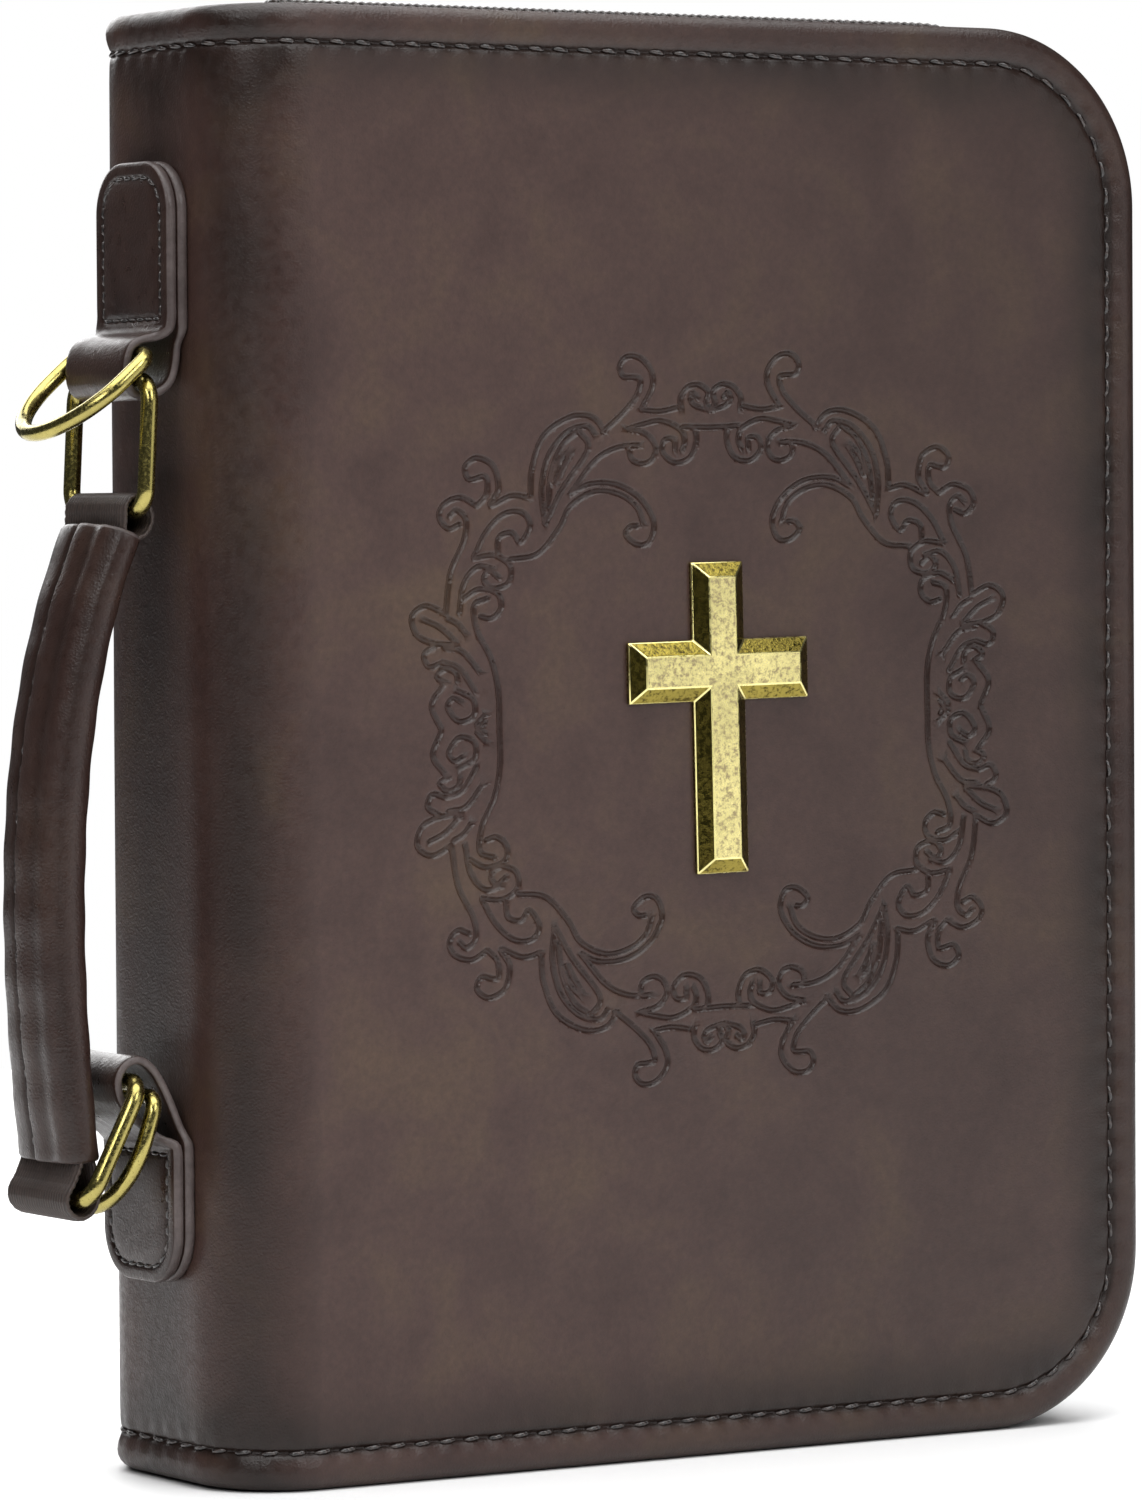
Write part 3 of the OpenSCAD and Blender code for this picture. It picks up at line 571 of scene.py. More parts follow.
def wreath_lines(step):
    """Centrelines of the pressed grooves on the sheet, as lists of (u, z)."""
    lines = []
    cos, sin = math.cos(WREATH_TILT), math.sin(WREATH_TILT)
    for stroke in WREATH:
        curve = spline(stroke, step)
        for flip_x in (1, -1):
            for flip_z in (1, -1):
                x, z = curve[:, 0] * flip_x, curve[:, 1] * flip_z
                lines.append(np.stack([WREATH_X + x * cos - z * sin - SPINE_R + FOLD_U,
                                       WREATH_Z + x * sin + z * cos], 1))
    return lines


def wreath_points():
    """Points beside each groove, near ones left out, and the groove's own line as a tree to measure from."""
    taken, kept = set(), []
    lines = wreath_lines(0.5)
    for offset in (0, 0.28, -0.28, GROOVE_HALF, -GROOVE_HALF, 0.78, -0.78, 1.2, -1.2):
        for line in lines:
            slope = np.gradient(line, axis=0)
            slope /= np.maximum(np.linalg.norm(slope, axis=1), 1e-9)[:, None]
            for a, b in line + offset * np.stack([slope[:, 1], -slope[:, 0]], 1):
                cell = (round(a / 0.24), round(b / 0.24))
                if cell not in taken:
                    taken.add(cell)
                    kept.append((a, b))
    fine = np.concatenate(wreath_lines(0.12))
    tree = kdtree.KDTree(len(fine))
    for i, (a, b) in enumerate(fine):
        tree.insert((a, b, 0), i)
    tree.balance()
    return np.array(kept), tree


def wreath_depth(u, z, tree):
    """How deep the pressed pattern is at each point, and how much of a groove's wall it is."""
    depth, wall = np.zeros(len(u)), np.zeros(len(u))
    near = (np.abs(u - FOLD_U + SPINE_R - WREATH_X) < 72) & (np.abs(z - WREATH_Z) < 74)
    for i in np.nonzero(near)[0]:
        away = tree.find((u[i], z[i], 0))[2]
        depth[i] = GROOVE_DEPTH * (1 - smooth((away - 0.32) / 0.24)) - 0.07 * bell(away - 0.95, 0.3)
        wall[i] = bell(away - 0.46, 0.17)
    return depth, wall


def sheet_skin(name, side, nodes, wreath):
    """Outer leather of one half of the case, with its edge turned in, bending at the cover's fold."""
    insets = [0, 0.12, 0.4, 0.8, 1.4, 2.3, 3.2, 4.2, 5.0, 5.6, 6.1, 6.5, 6.8, 7.0, 7.2, 7.5, 7.9, 8.5,
              9.3, 10.4, 12]
    steps = STITCHES * 6
    u, z = sheet_points(insets, steps, 3.0, 1.5, 13)
    count = 2 * steps + 1
    if wreath:
        extra, tree = wreath_points()
        u, z = np.concatenate([u, extra[:, 0]]), np.concatenate([z, extra[:, 1]])
    points, faces = triangulate(np.stack([u, z], 1), range(count))
    u, z = points.T
    if wreath:
        depth, wall = wreath_depth(u, z, tree)
    else:
        depth, wall = np.zeros(len(u)), np.zeros(len(u))
    inset, run = edge_place(u, z)
    inset = np.maximum(inset, 0)
    height = seam_relief(inset, run) + swell(u, z, side) * smooth(inset / 12) * smooth(u / 9) - depth
    verts = [folded(u, z, height, side)]
    # Darkening for the leather's colour. Painted shade: in the stitched groove, on the walls of the pressed
    # grooves, in a band where the spine rounds into the fold, and over the spine, for the handle's shadow
    # and the dimmer light there. Real burnish along the inner side of the stitched line. Also darker along
    # the rolled edge, towards the fore-edge, top and bottom, and on the turned-in edge.
    shade_and_burnish = (bell(inset - SEAM, 0.9) + 0.55 * bell(inset - SEAM - 2, 7) * (inset > SEAM)
             + 0.35 * bell(inset - 0.5, 1.6) + 0.6 * wall + 0.72 * bell(u - FLAT - 13, 7)
             + 0.5 * (1 - smooth((u - 2) / 12)) + 0.16 * (u < FOLD_U)
             + 0.34 * smooth((u - 60) / 140) + 0.3 * smooth((u - SHEET_W + 22) / 22)
             + 0.2 * smooth((np.abs(z - MID_Z) - MID_Z + 22) / 22))
    wear_and_shade = [np.clip(shade_and_burnish, 0, 1)]
    start, last = len(u), list(range(count))
    for deep_inset, deep in ((0, COVER_T - 0.9), (0.2, COVER_T - 0.3), (0.7, COVER_T), (5, COVER_T)):
        ru, rz = full_row(deep_inset, steps)
        verts.append(folded(ru, rz, np.full(count, -deep), side))
        wear_and_shade.append(np.full(count, 0.4))
        now = list(range(start, start + count))
        faces += [[last[k], now[k], now[k + 1], last[k + 1]] for k in range(count - 1)]
        start, last = start + count, now
    if side > 0:
        faces = [f[::-1] for f in faces]
    wear_and_shade = np.concatenate(wear_and_shade)
    gloss = np.zeros(len(wear_and_shade))
    gloss[:len(wall)] = wall
    skin = piece(name, np.concatenate(verts), faces, LEATHER, wear_and_shade=wear_and_shade, gloss=gloss)
    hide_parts(*nodes)
    return across_fold(skin)


def across_fold(made):
    """Bakes the piece's placement into its mesh."""
    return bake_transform(made)


def sheet_lining(name, side, nodes):
    """Cloth lining of one half, on the inside of the board, with a turned and stitched edge."""
    steps = STITCHES * 2
    u, z = sheet_points([2.6, 3.4, 5.5, 9, 12], steps, 6.0, 1.6, 14)
    points, faces = triangulate(np.stack([u, z], 1), range(2 * steps + 1))
    u, z = points.T
    inset, run = edge_place(u, z)
    height = -COVER_T - 0.12 - 0.25 * smooth((inset - 2.6) / 3) + 0.5 * swell(u, z, 3 + side)
    if side < 0:
        faces = [f[::-1] for f in faces]
    lining = piece(name, folded(u, z, height, side), faces, LINING)
    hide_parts(*nodes)
    return across_fold(lining)


def sheet_stitches(name, side, nodes):
    """One short length of thread for each stitch, dipping into its holes."""
    shape, faces = bar_shape(PITCH * 0.70, 0.42, 0.8)
    parts = []
    slant = math.radians(7)
    for k in range(STITCHES):
        along = shape[:, 0] * math.cos(slant) - shape[:, 1] * math.sin(slant)
        across = shape[:, 0] * math.sin(slant) + shape[:, 1] * math.cos(slant)
        tilt = random.uniform(-0.06, 0.06)
        for top in (True, False):
            u, z = row(SEAM + across + tilt, (k + 0.5) * PITCH + along)
            z = z if top else CASE_H - z
            parts.append((folded(u, z, shape[:, 2] - 0.42, side), faces if top == (side < 0) else
                          [f[::-1] for f in faces]))
    verts, faces = join(parts)
    thread = piece(name, verts, faces, THREAD)
    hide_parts(*nodes)
    return across_fold(thread)


# ---------------------------------------------------------------- zip
TAPE_X0, TAPE_X1 = TAPE[0].x - SPINE[0].x, TAPE[1].x - SPINE[0].x
TAPE_Z0, TAPE_Z1 = TAPE[0].z, TAPE[1].z
TAPE_R = CORNER_R - 2
TOOTH_PITCH = 1.7


def zip_path(out, run):
    """(x, z) at a distance outside the tape's outline, by the run along it from the spine's top."""
    top = TAPE_X1 - TAPE_R - TAPE_X0
    quarter = TAPE_R * math.pi / 2
    side = TAPE_Z1 - TAPE_Z0 - 2 * TAPE_R
    first = np.clip((run - top) / TAPE_R, 0, math.pi / 2)
    second = np.clip((run - top - quarter - side) / TAPE_R, 0, math.pi / 2)
    turn = first + second
    down = np.clip(run - top - quarter, 0, side)
    back = np.maximum(run - top - 2 * quarter - side, 0)
    x = TAPE_X0 + np.minimum(run, top) + (TAPE_R + out) * np.sin(turn) - back
    z = TAPE_Z1 - TAPE_R - down + (TAPE_R + out) * np.cos(turn)
    return x, z


ZIP_RUN = 2 * (TAPE_X1 - TAPE_R - TAPE_X0) + TAPE_R * math.pi + TAPE_Z1 - TAPE_Z0 - 2 * TAPE_R
INNER_Y = HALF_T - COVER_T


def zip_tape(name, side, body, node):
    """Half of the zip's tape, from inside the cover up to a low crown under the coil."""
    run = np.linspace(0, ZIP_RUN, 340)
    profile = [(INNER_Y - 0.2, -1.2), (INNER_Y - 0.4, -0.4), (INNER_Y - 2, 0.0), (18, 0.5), (14, 0.9),
               (9, 1.3), (5, 2.1), (3.2, 2.3), (0.7, 2.3), (0.6, 1.8), (0.7, 1.3), (3.2, 1.3), (9, 0.4),
               (14, -0.1), (18, -0.5), (INNER_Y - 1.6, -1.2)]
    rings = []
    for y, out in profile:
        x, z = zip_path(out, run)
        rings.append(np.stack([x, np.full(len(run), side * y), z], 1))
    verts = np.stack(rings, 1).reshape(-1, 3)
    faces = grid_faces(len(run), len(profile), True)
    faces += [list(range(len(profile)))[::-1], [len(verts) - len(profile) + k for k in range(len(profile))]]
    if side < 0:
        faces = [f[::-1] for f in faces]
    tape = piece(name, verts, faces, TAPE_CLOTH)
    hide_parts(node)
    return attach(tape, body)


def zip_coil(name, side, body, node):
    """Half of the zip's coil: one rounded loop of nylon per tooth, and the cord it is sewn down with."""
    shape, faces = bar_shape(3.5, 0.62, 0.35, 8, 6)
    first = 4.0
    parts = []
    for k in range(int((ZIP_RUN - 2 * first) / TOOTH_PITCH)):
        middle = first + (k + (0.5 if side > 0 else 0)) * TOOTH_PITCH
        x, z = zip_path(3.05 + shape[:, 2], middle + shape[:, 1])
        parts.append((np.stack([x, side * (1.45 + shape[:, 0]), z], 1), faces))
    run = np.linspace(first, ZIP_RUN - first, 600)
    turns = np.arange(6) * math.pi / 3
    rings = []
    for a in turns:
        bumps = 0.42 + 0.08 * np.sin(run * 2 * math.pi / TOOTH_PITCH)
        x, z = zip_path(2.6 + bumps * np.sin(a), run)
        rings.append(np.stack([x, side * (3.4 + bumps * np.cos(a)), z], 1))
    parts.append((np.stack(rings, 1).reshape(-1, 3), grid_faces(len(run), 6, True)))
    verts, faces = join(parts)
    coil = tidy_normals(piece(name, verts, faces, COIL))
    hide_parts(node)
    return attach(coil, body)


# ---------------------------------------------------------------- rings
RING_IN_W = 25.4
RECT_R, DEE_R = 1.6, 1.5
RING_DEPTH, DEE_DEPTH = 23.5, 21.5
UPPER_BAR, UPPER_BAR_ANGLE = (-8.4, MID_Z + 66.9), 3
UPPER_DEE, UPPER_DEE_ANGLE = (-8.3, MID_Z + 71.6), 49
LOWER_BAR, LOWER_BAR_ANGLE = (-11.4, MID_Z - 60.4), 27
LOWER_DEE, LOWER_DEE_ANGLE = (-8.2, MID_Z - 63.2), 18


def arc(y, d, radius, start, end, count):
    """Points (across, depth) on an arc. Angles are in degrees, from across towards depth."""
    return [(y + radius * math.cos(math.radians(a)), d + radius * math.sin(math.radians(a)))
            for a in np.linspace(start, end, count)]


def rect_outline(radius, bend=4.0):
    half = RING_IN_W / 2 + radius
    low, high = bend, RING_DEPTH - bend
    return (arc(half - bend, low, bend, -90, 0, 9) + arc(half - bend, high, bend, 0, 90, 9)
            + arc(bend - half, high, bend, 90, 180, 9) + arc(bend - half, low, bend, 180, 270, 9))


def dee_outline(radius, bend=3.0):
    half = RING_IN_W / 2 + radius
    return (arc(half - bend, bend, bend, -90, 0, 8) + arc(0, DEE_DEPTH - half, half, 0, 180, 40)
            + arc(bend - half, bend, bend, 180, 270, 8))


def wire_ring(name, outline, bar, angle, radius, body):
    """A ring of round wire that hangs from its bar at an angle from straight down."""
    evened = []
    for (y0, d0), (y1, d1) in zip(outline, outline[1:] + outline[:1]):
        count = max(1, round(math.hypot(y1 - y0, d1 - d0) / 1.2))
        evened += [(y0 + (y1 - y0) * i / count, d0 + (d1 - d0) * i / count) for i in range(count)]
    lean = math.radians(angle)
    path = [(bar[0] - d * math.sin(lean), y, bar[1] - d * math.cos(lean)) for y, d in evened]
    verts, faces = closed_tube(path, radius)
    ring = piece(name, verts, faces, BRASS)
    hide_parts(name.replace("_wire", ""))
    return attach(ring, body)


# ---------------------------------------------------------------- tabs
TAB_HALF_W, TAB_CORNER_R, TAB_NECK = 13.8, 9.5, 11.5
UPPER_TAB, LOWER_TAB = 31.0, 26.0
TAB_SEAM, TAB_FOOT = 3.0, 2.0
LAYER_T = 2.2
STRAP_T = 1.6


def tab_line(plate_z, up, plate, loop):
    """The strap's line seen from the side: down its outer layer, round the loop, and up the inner one."""
    far = plate_z + up * plate
    outer, inner = -LAYER_T * 1.5 - 0.1, -LAYER_T / 2
    straight = [(outer, far + (plate_z - far) * k / 6) for k in range(6)]
    back = [(inner, plate_z + (far - plate_z) * k / 6) for k in range(1, 7)]
    return Line(spline(straight + loop + back, 0.4))


def tab_half_width(run, length, plate):
    """Half the strap's width: rounded corners at its ends, a straight plate, and a narrower neck."""
    run = np.minimum(run, length - run)
    short = TAB_CORNER_R - np.minimum(run, TAB_CORNER_R)
    corner = TAB_CORNER_R - np.sqrt(np.maximum(TAB_CORNER_R ** 2 - short ** 2, 0))
    return TAB_HALF_W - corner - (TAB_HALF_W - TAB_NECK) * smooth((run - plate + 0.5) / 4)


def strap_tab(name, plate_z, up, plate, loop, node):
    """A tab cut from one strap, folded through its loop, with rounded edges and a sewn line on its plate."""
    line = tab_line(plate_z, up, plate, loop)
    length = line.length
    ends = TAB_CORNER_R * (1 - np.cos(np.linspace(0, math.pi / 2, 20)))
    middle = np.arange(TAB_CORNER_R + 0.8, length - TAB_CORNER_R, 0.8)
    runs = np.concatenate([ends, middle, length - ends[::-1]])
    half = tab_half_width(runs, length, plate)
    flat_y = np.linspace(-1, 1, 12)[1:-1] * (TAB_HALF_W - TAB_CORNER_R)
    foot = np.stack([flat_y, np.zeros(10)], 1)
    rim = np.concatenate([np.stack([half, runs], 1), foot[::-1] + (0, length),
                          np.stack([-half, runs], 1)[::-1], foot])
    before, after = np.roll(rim, 1, 0), np.roll(rim, -1, 0)
    slope = (after - before) / np.linalg.norm(after - before, axis=1)[:, None]
    inward = np.stack([-slope[:, 1], slope[:, 0]], 1)
    insets = [0, 0.12, 0.4, 0.9, 1.7, 2.3, 2.65, 2.85, 3.0, 3.15, 3.4, 3.9]
    pts = [rim + inward * e for e in insets]
    grid = np.array([(y, a) for a in np.arange(5, length - 5, 1.6) for y in np.arange(-12, 12.1, 1.6)
                     if abs(y) < tab_half_width(np.array(a), length, plate) - 4.6])
    seam_end = plate - TAB_FOOT
    cross_row = np.array([(y, seam_end + d) for y in np.arange(-10, 10.1, 0.8)
                          for d in (-0.5, -0.2, 0, 0.2, 0.5)])
    tree = kdtree.KDTree(len(rim))
    for i, p in enumerate(rim):
        tree.insert((p[0], p[1], 0), i)
    tree.balance()
    inside = [p for e, group in zip(insets, pts) for p in group
              if e == 0 or tree.find((p[0], p[1], 0))[2] > e - 0.08]
    points = np.concatenate([np.array(inside), grid, cross_row])
    flat, faces = triangulate(points, range(len(rim)))
    inset = np.array([tree.find((p[0], p[1], 0))[2] for p in flat])
    inset[:len(rim)] = 0
    sewn = (flat[:, 1] < seam_end + 0.01)
    run = flat[:, 1]
    near_loop = smooth((np.minimum(run, length - run) - seam_end) / 5)
    thick = LAYER_T / 2 + (STRAP_T - LAYER_T) / 2 * near_loop
    edge = 0.75
    round_off = np.sqrt(np.maximum(1 - (1 - np.minimum(inset / edge, 1)) ** 2, 0))
    groove = 0.45 * bell(inset - TAB_SEAM, 0.32) * sewn
    foot_groove = 0.45 * bell(run - seam_end, 0.32) * (np.abs(flat[:, 0]) < TAB_HALF_W - TAB_SEAM)
    groove = np.maximum(groove, foot_groove)
    puff = 0.25 * smooth((inset - TAB_SEAM) / 3) * sewn * smooth((seam_end - run) / 3)
    top = thick * round_off + (puff - groove) * smooth(inset / 1.5)
    bottom = -thick * round_off
    layers = []
    for height in (top, bottom):
        x, z = line.at(run, height * up)
        layers.append(np.stack([x, flat[:, 0], z], 1))
    count = len(flat)
    under = {i: i if i < len(rim) else i + count for i in range(count)}
    faces_all = faces + [[under[i] for i in f[::-1]] for f in faces]
    edge_flags = [1 if max(inset[i] for i in f) < 0.5 else 0 for f in faces] * 2
    # Darkening for the tab's colour: painted shade in the sewn groove, and darker along the edge.
    wear_and_shade = np.clip(np.tile(0.8 * bell(inset - TAB_SEAM, 0.6) * sewn + 0.25 * bell(inset, 2), 2), 0, 1)
    tab = piece(name, np.concatenate(layers), faces_all, [HANDLE_LEATHER, CUT_EDGE],
                edge_flags, wear_and_shade)
    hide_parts(node)
    tidy_normals(tab)
    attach(tab, "spine")
    return line


def tab_stitches(tabs):
    """Thread on both tabs: up one side, round the end and down the other, and across the foot."""
    shape, faces = bar_shape(2.5, 0.36, 0.5)
    half, corner = TAB_HALF_W - TAB_SEAM, TAB_CORNER_R - TAB_SEAM
    parts = []
    for line, up, plate in tabs:
        turn = np.linspace(0, math.pi / 2, 24)
        side = np.linspace(plate - TAB_FOOT, TAB_CORNER_R, 12)
        right = np.stack([np.concatenate([np.full(12, half), half - corner + corner * np.cos(turn[1:])]),
                          np.concatenate([side, TAB_CORNER_R - corner * np.sin(turn[1:])])], 1)
        seam = Line(np.concatenate([right, right[::-1] * (-1, 1)]))
        foot = Line([(-half, plate - TAB_FOOT), (0, plate - TAB_FOOT), (half, plate - TAB_FOOT)])
        for path in (seam, foot):
            count = round(path.length / 3.1)
            for k in range(count):
                y, run = path.at((k + 0.5) * path.length / count + shape[:, 0], shape[:, 1])
                x, z = line.at(run, (LAYER_T / 2 - 0.18 + shape[:, 2]) * up)
                parts.append((np.stack([x, y, z], 1), faces))
    verts, faces = join(parts)
    return tidy_normals(piece("tab_thread", verts, faces, THREAD))


# ---------------------------------------------------------------- handle
GRIP = from_middle([(-11, 39.5), (-25.6, 7), (-25, -35), (-20.8, -74.5)])
GRIP_END_W, GRIP_MID_W = 12.4, 10.4
GRIP_END_T, GRIP_MID_T = 4.2, 5.5
SLEEVE_WALL = 1.2
SEAM_Y = 0.5
STITCH_Y = SEAM_Y + 1.1
LOW_POINTS, HIGH_POINTS = 22, 14
SEAM_STEPS = np.array([-0.5, -0.2, 0.0, 0.15, 0.3, 0.55, 0.8, 1.1, 1.5, 1.9])
OUTER_POINTS = LOW_POINTS + len(SEAM_STEPS) + HIGH_POINTS


def grip_line():
    t = np.linspace(0, 1, 200)[:, None]
    p = [np.array(q) for q in GRIP]
    return Line((1 - t) ** 3 * p[0] + 3 * t * (1 - t) ** 2 * p[1]
                + 3 * t * t * (1 - t) * p[2] + t ** 3 * p[3])


def grip_section(half_w, half_t, lip):
    """The handle's section: (out, y) all round. Its outer face has a lapped seam if lip is above 0."""
    low = np.linspace(-0.96, (SEAM_Y - 0.8) / half_w, LOW_POINTS) * half_w
    high = np.linspace((SEAM_Y + 2.6) / half_w, 0.96, HIGH_POINTS) * half_w
    outer_y = np.concatenate([low, SEAM_Y + SEAM_STEPS, high])
    inner_y = np.linspace(0.96, -0.96, 26) * half_w
    out = []
    for y, sign in [(y, 1) for y in outer_y] + [(half_w, 0)] + [(y, -1) for y in inner_y] + [(-half_w, 0)]:
        s = min(abs(y) / half_w, 1) ** 1.25
        n = sign * half_t * math.sqrt(max(1 - s * s, 0)) ** 0.8
        if sign > 0:
            step = smooth((SEAM_Y + 0.2 - y) / 0.3) * (1 - smooth((SEAM_Y - y) / 5))
            ridge = (0.25 * bell(y + 2, 2.2) + 0.35 * bell(y + 8.2, 2) - 0.2 * bell(y + 5, 1.6)
                     + 0.2 * bell(y - 6, 3))
            seam = 0.35 * step + ridge - 0.6 * bell(y - SEAM_Y - 1.1, 0.65)
            n += lip * seam * smooth((half_w - abs(y)) / 3)
        out.append((n, y))
    return np.array(out)


def handle_sleeve():
    """Padded leather sleeve, lapped along its outer face and open at both ends."""
    line = grip_line()
    rings = []

    def ring(run, wall, lip):
        share = np.clip(run / line.length, 0, 1)
        bulge = math.sin(math.pi * share)
        half_w = GRIP_END_W + (GRIP_MID_W - GRIP_END_W) * bulge - wall
        half_t = GRIP_END_T + (GRIP_MID_T - GRIP_END_T) * bulge - wall
        half_t += 0.12 * math.sin(run * 0.55) * (wall == 0)
        section = grip_section(half_w, half_t, lip)
        x, z = line.at(run, section[:, 0])
        rings.append(np.stack([x, section[:, 1], z], 1))

    turned_in = ((9, SLEEVE_WALL), (1.2, SLEEVE_WALL), (0.3, 1.0), (0.0, 0.6), (0.15, 0.2))
    for run, wall in turned_in:
        ring(run, wall, 1.0 if wall < 0.5 else 0.0)
    for run in np.linspace(0.7, line.length - 0.7, 84):
        ring(run, 0, 1.0)
    for run, wall in turned_in[::-1]:
        ring(line.length - run, wall, 1.0 if wall < 0.5 else 0.0)
    count = len(rings[0])
    verts = np.concatenate(rings)
    faces = grid_faces(len(rings), count, True)
    faces += [list(range(count))[::-1], [len(verts) - count + k for k in range(count)]]
    y = verts[:, 1]
    # Darkening for the sleeve's colour: painted shade in the stitched groove and in the dip at y = -5, and a
    # painted dark reflection band along the edge past y = -9; the face past the seam darker all over, the
    # turned-in ends a little darker.
    wear_and_shade = (bell(y - SEAM_Y - 1.1, 0.6) + 0.35 * (y > SEAM_Y + 1) + 0.4 * bell(y + 5, 1.5)
            + 0.5 * smooth((-y - 9) / 1.5))
    wear_and_shade = np.clip(wear_and_shade * (np.arange(len(verts)) % count < OUTER_POINTS), 0, 1)
    ends = len(turned_in) * count
    wear_and_shade[:ends] = 0.2
    wear_and_shade[-ends:] = 0.2
    cut_rows = {1, 2, 3, 4, *(len(rings) - k for k in (2, 3, 4, 5))}
    bands = [int(i // count in cut_rows) for i in range(len(faces) - 2)] + [0, 0]
    sleeve = piece("handle_leather", verts, faces, [HANDLE_LEATHER, CUT_EDGE], bands, wear_and_shade)
    tidy_normals(sleeve)
    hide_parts("handle_sleeve")
    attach(sleeve, "handle")
    return line


def handle_stitches(line):
    shape, faces = bar_shape(3.0, 0.36, 0.4)
    parts = []
    count = round((line.length - 4) / 4.1)
    for k in range(count):
        run = 2 + (k + 0.5) * (line.length - 4) / count
        bulge = math.sin(math.pi * run / line.length)
        half_w = GRIP_END_W + (GRIP_MID_W - GRIP_END_W) * bulge
        half_t = GRIP_END_T + (GRIP_MID_T - GRIP_END_T) * bulge
        s = (STITCH_Y / half_w) ** 1.25
        out = half_t * math.sqrt(1 - s * s) ** 0.8
        x, z = line.at(run + shape[:, 0], out - 0.45 + shape[:, 2])
        parts.append((np.stack([x, STITCH_Y + shape[:, 1], z], 1), faces))
    verts, faces = join(parts)
    thread = tidy_normals(piece("handle_thread", verts, faces, THREAD))
    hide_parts("handle_stitching")
    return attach(thread, "handle")


WEB_W, WEB_T, RIB = 23.2, 1.3, 0.96


def webbing_loop(points):
    """A length of ribbed webbing along a line in X and Z."""
    line = Line(spline(points, 0.5))
    runs = np.linspace(0, line.length, int(line.length / 0.45))
    half = WEB_W / 2
    y = np.linspace(-half, half, int(WEB_W / RIB) * 4 + 1)
    ribs = 0.13 * np.cos(2 * math.pi * y / RIB)
    thin = np.sqrt(np.maximum(1 - np.abs(y / half) ** 24, 0.05))
    up = (WEB_T / 2 + ribs - 0.1) * thin
    section_y = np.concatenate([y, y[::-1]])
    section_n = np.concatenate([up, -up[::-1]])
    rings = []
    for i, run in enumerate(runs):
        frayed = 0.22 * math.sin(run * 2 * math.pi / 1.3) * np.abs(section_y / half) ** 30
        x, z = line.at(run, section_n + 0.05 * math.sin(run * 9.0))
        rings.append(np.stack([x, section_y + np.sign(section_y) * frayed, z], 1))
    verts = np.concatenate(rings)
    count = len(section_y)
    faces = grid_faces(len(rings), count, True)
    faces += [list(range(count))[::-1], [len(verts) - count + k for k in range(count)]]
    return verts, faces


def handle_webbing(line):
    """Webbing through the handle: a loop round the upper ring's bar and one round the lower ring's."""
    low = line.length

    def grip(run, out):
        return tuple(float(c) for c in line.at(run, out))

    upper_loop = from_middle([(-12.1, 42), (-11.95, 44.2), (-10.6, 45.8), (-8.8, 45.7), (-7.2, 44.2),
                              (-6.6, 41.8), (-7.8, 39.2)])
    lower_loop = from_middle([(-23.4, -77.6), (-25.0, -80.4), (-24.9, -82.8), (-23.1, -84.4), (-20.8, -84.2),
                              (-19.1, -82.2), (-18.9, -79.2), (-19.4, -76.4)])
    upper = [grip(9, 0.8), grip(2, 0.9), *upper_loop, grip(2, -0.9), grip(9, -0.8)]
    lower = [grip(low - 9, 0.8), grip(low - 1.5, 1.0), *lower_loop,
             grip(low - 1.5, -1.0), grip(low - 9, -0.8)]
    verts, faces = join([webbing_loop(upper), webbing_loop(lower)])
    web = tidy_normals(piece("webbing_loops", verts, faces, WEBBING))
    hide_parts("handle_webbing")
    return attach(web, "handle")


# ---------------------------------------------------------------- CAD shapes that only need soft edges
def softened(node, name, materials, width, segments=2, edge_material=None, angle=25):
    """The node's own shape with its edges rounded by a small bevel."""
    mesh = frame["nodes"][node].data.copy()
    mesh.name = name
    mesh.materials.clear()
    for material in materials:
        mesh.materials.append(material)
    bm = bmesh.new()
    bm.from_mesh(mesh)
    bmesh.ops.remove_doubles(bm, verts=bm.verts, dist=1e-6)
    bmesh.ops.dissolve_limit(bm, angle_limit=math.radians(1), verts=bm.verts, edges=bm.edges)
    for face in bm.faces:
        face.material_index = 0
        face.smooth = True
    sharp = [e for e in bm.edges if len(e.link_faces) == 2 and e.calc_face_angle(0) > math.radians(angle)]
    bmesh.ops.bevel(bm, geom=sharp, offset=width * MM, segments=segments, affect="EDGES", profile=0.5,
                    clamp_overlap=True, material=-1 if edge_material is None else edge_material)
    bm.to_mesh(mesh)
    bm.free()
    made = bpy.data.objects.new(name, mesh)
    bpy.context.scene.collection.objects.link(made)
    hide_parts(node)
    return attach(made, node_body(node))


def node_body(node):
    return frame["nodes"][node]["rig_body"]


def gold_cross():
    """The cross: speckled face, bevels painted darker as shade, and rubbed edges."""
    cross = softened("cross_emblem", "cross", [CROSS_SHADED_BEVEL, CROSS_FACE, CROSS_EDGE], 0.22, 2, 2, 12)
    for polygon in cross.data.polygons:
        if polygon.material_index == 0 and polygon.normal.y < -0.98:
            polygon.material_index = 1
    for polygon in cross.data.polygons:
        if polygon.material_index != 2:
            polygon.use_smooth = False
    return cross


# ---------------------------------------------------------------- the scene
for side, body, skin_nodes, lining_nodes, thread_nodes in (
        (-1, "front_cover", ["front_leather", "spine_leather"], ["front_lining", "spine_lining"],
         ["front_stitching", "spine_stitching"]),
        (1, "back_cover", ["back_leather"], ["back_lining"], ["back_stitching"])):
    half_name = body.split("_")[0]
    sheet_skin(half_name + "_skin", side, skin_nodes, side < 0)
    sheet_lining(half_name + "_cloth", side, lining_nodes)
    sheet_stitches(half_name + "_thread", side, thread_nodes)
    zip_tape(half_name + "_tape", side, body, half_name + "_zip_tape")
    zip_coil(half_name + "_coil", side, body, half_name + "_zip_teeth")

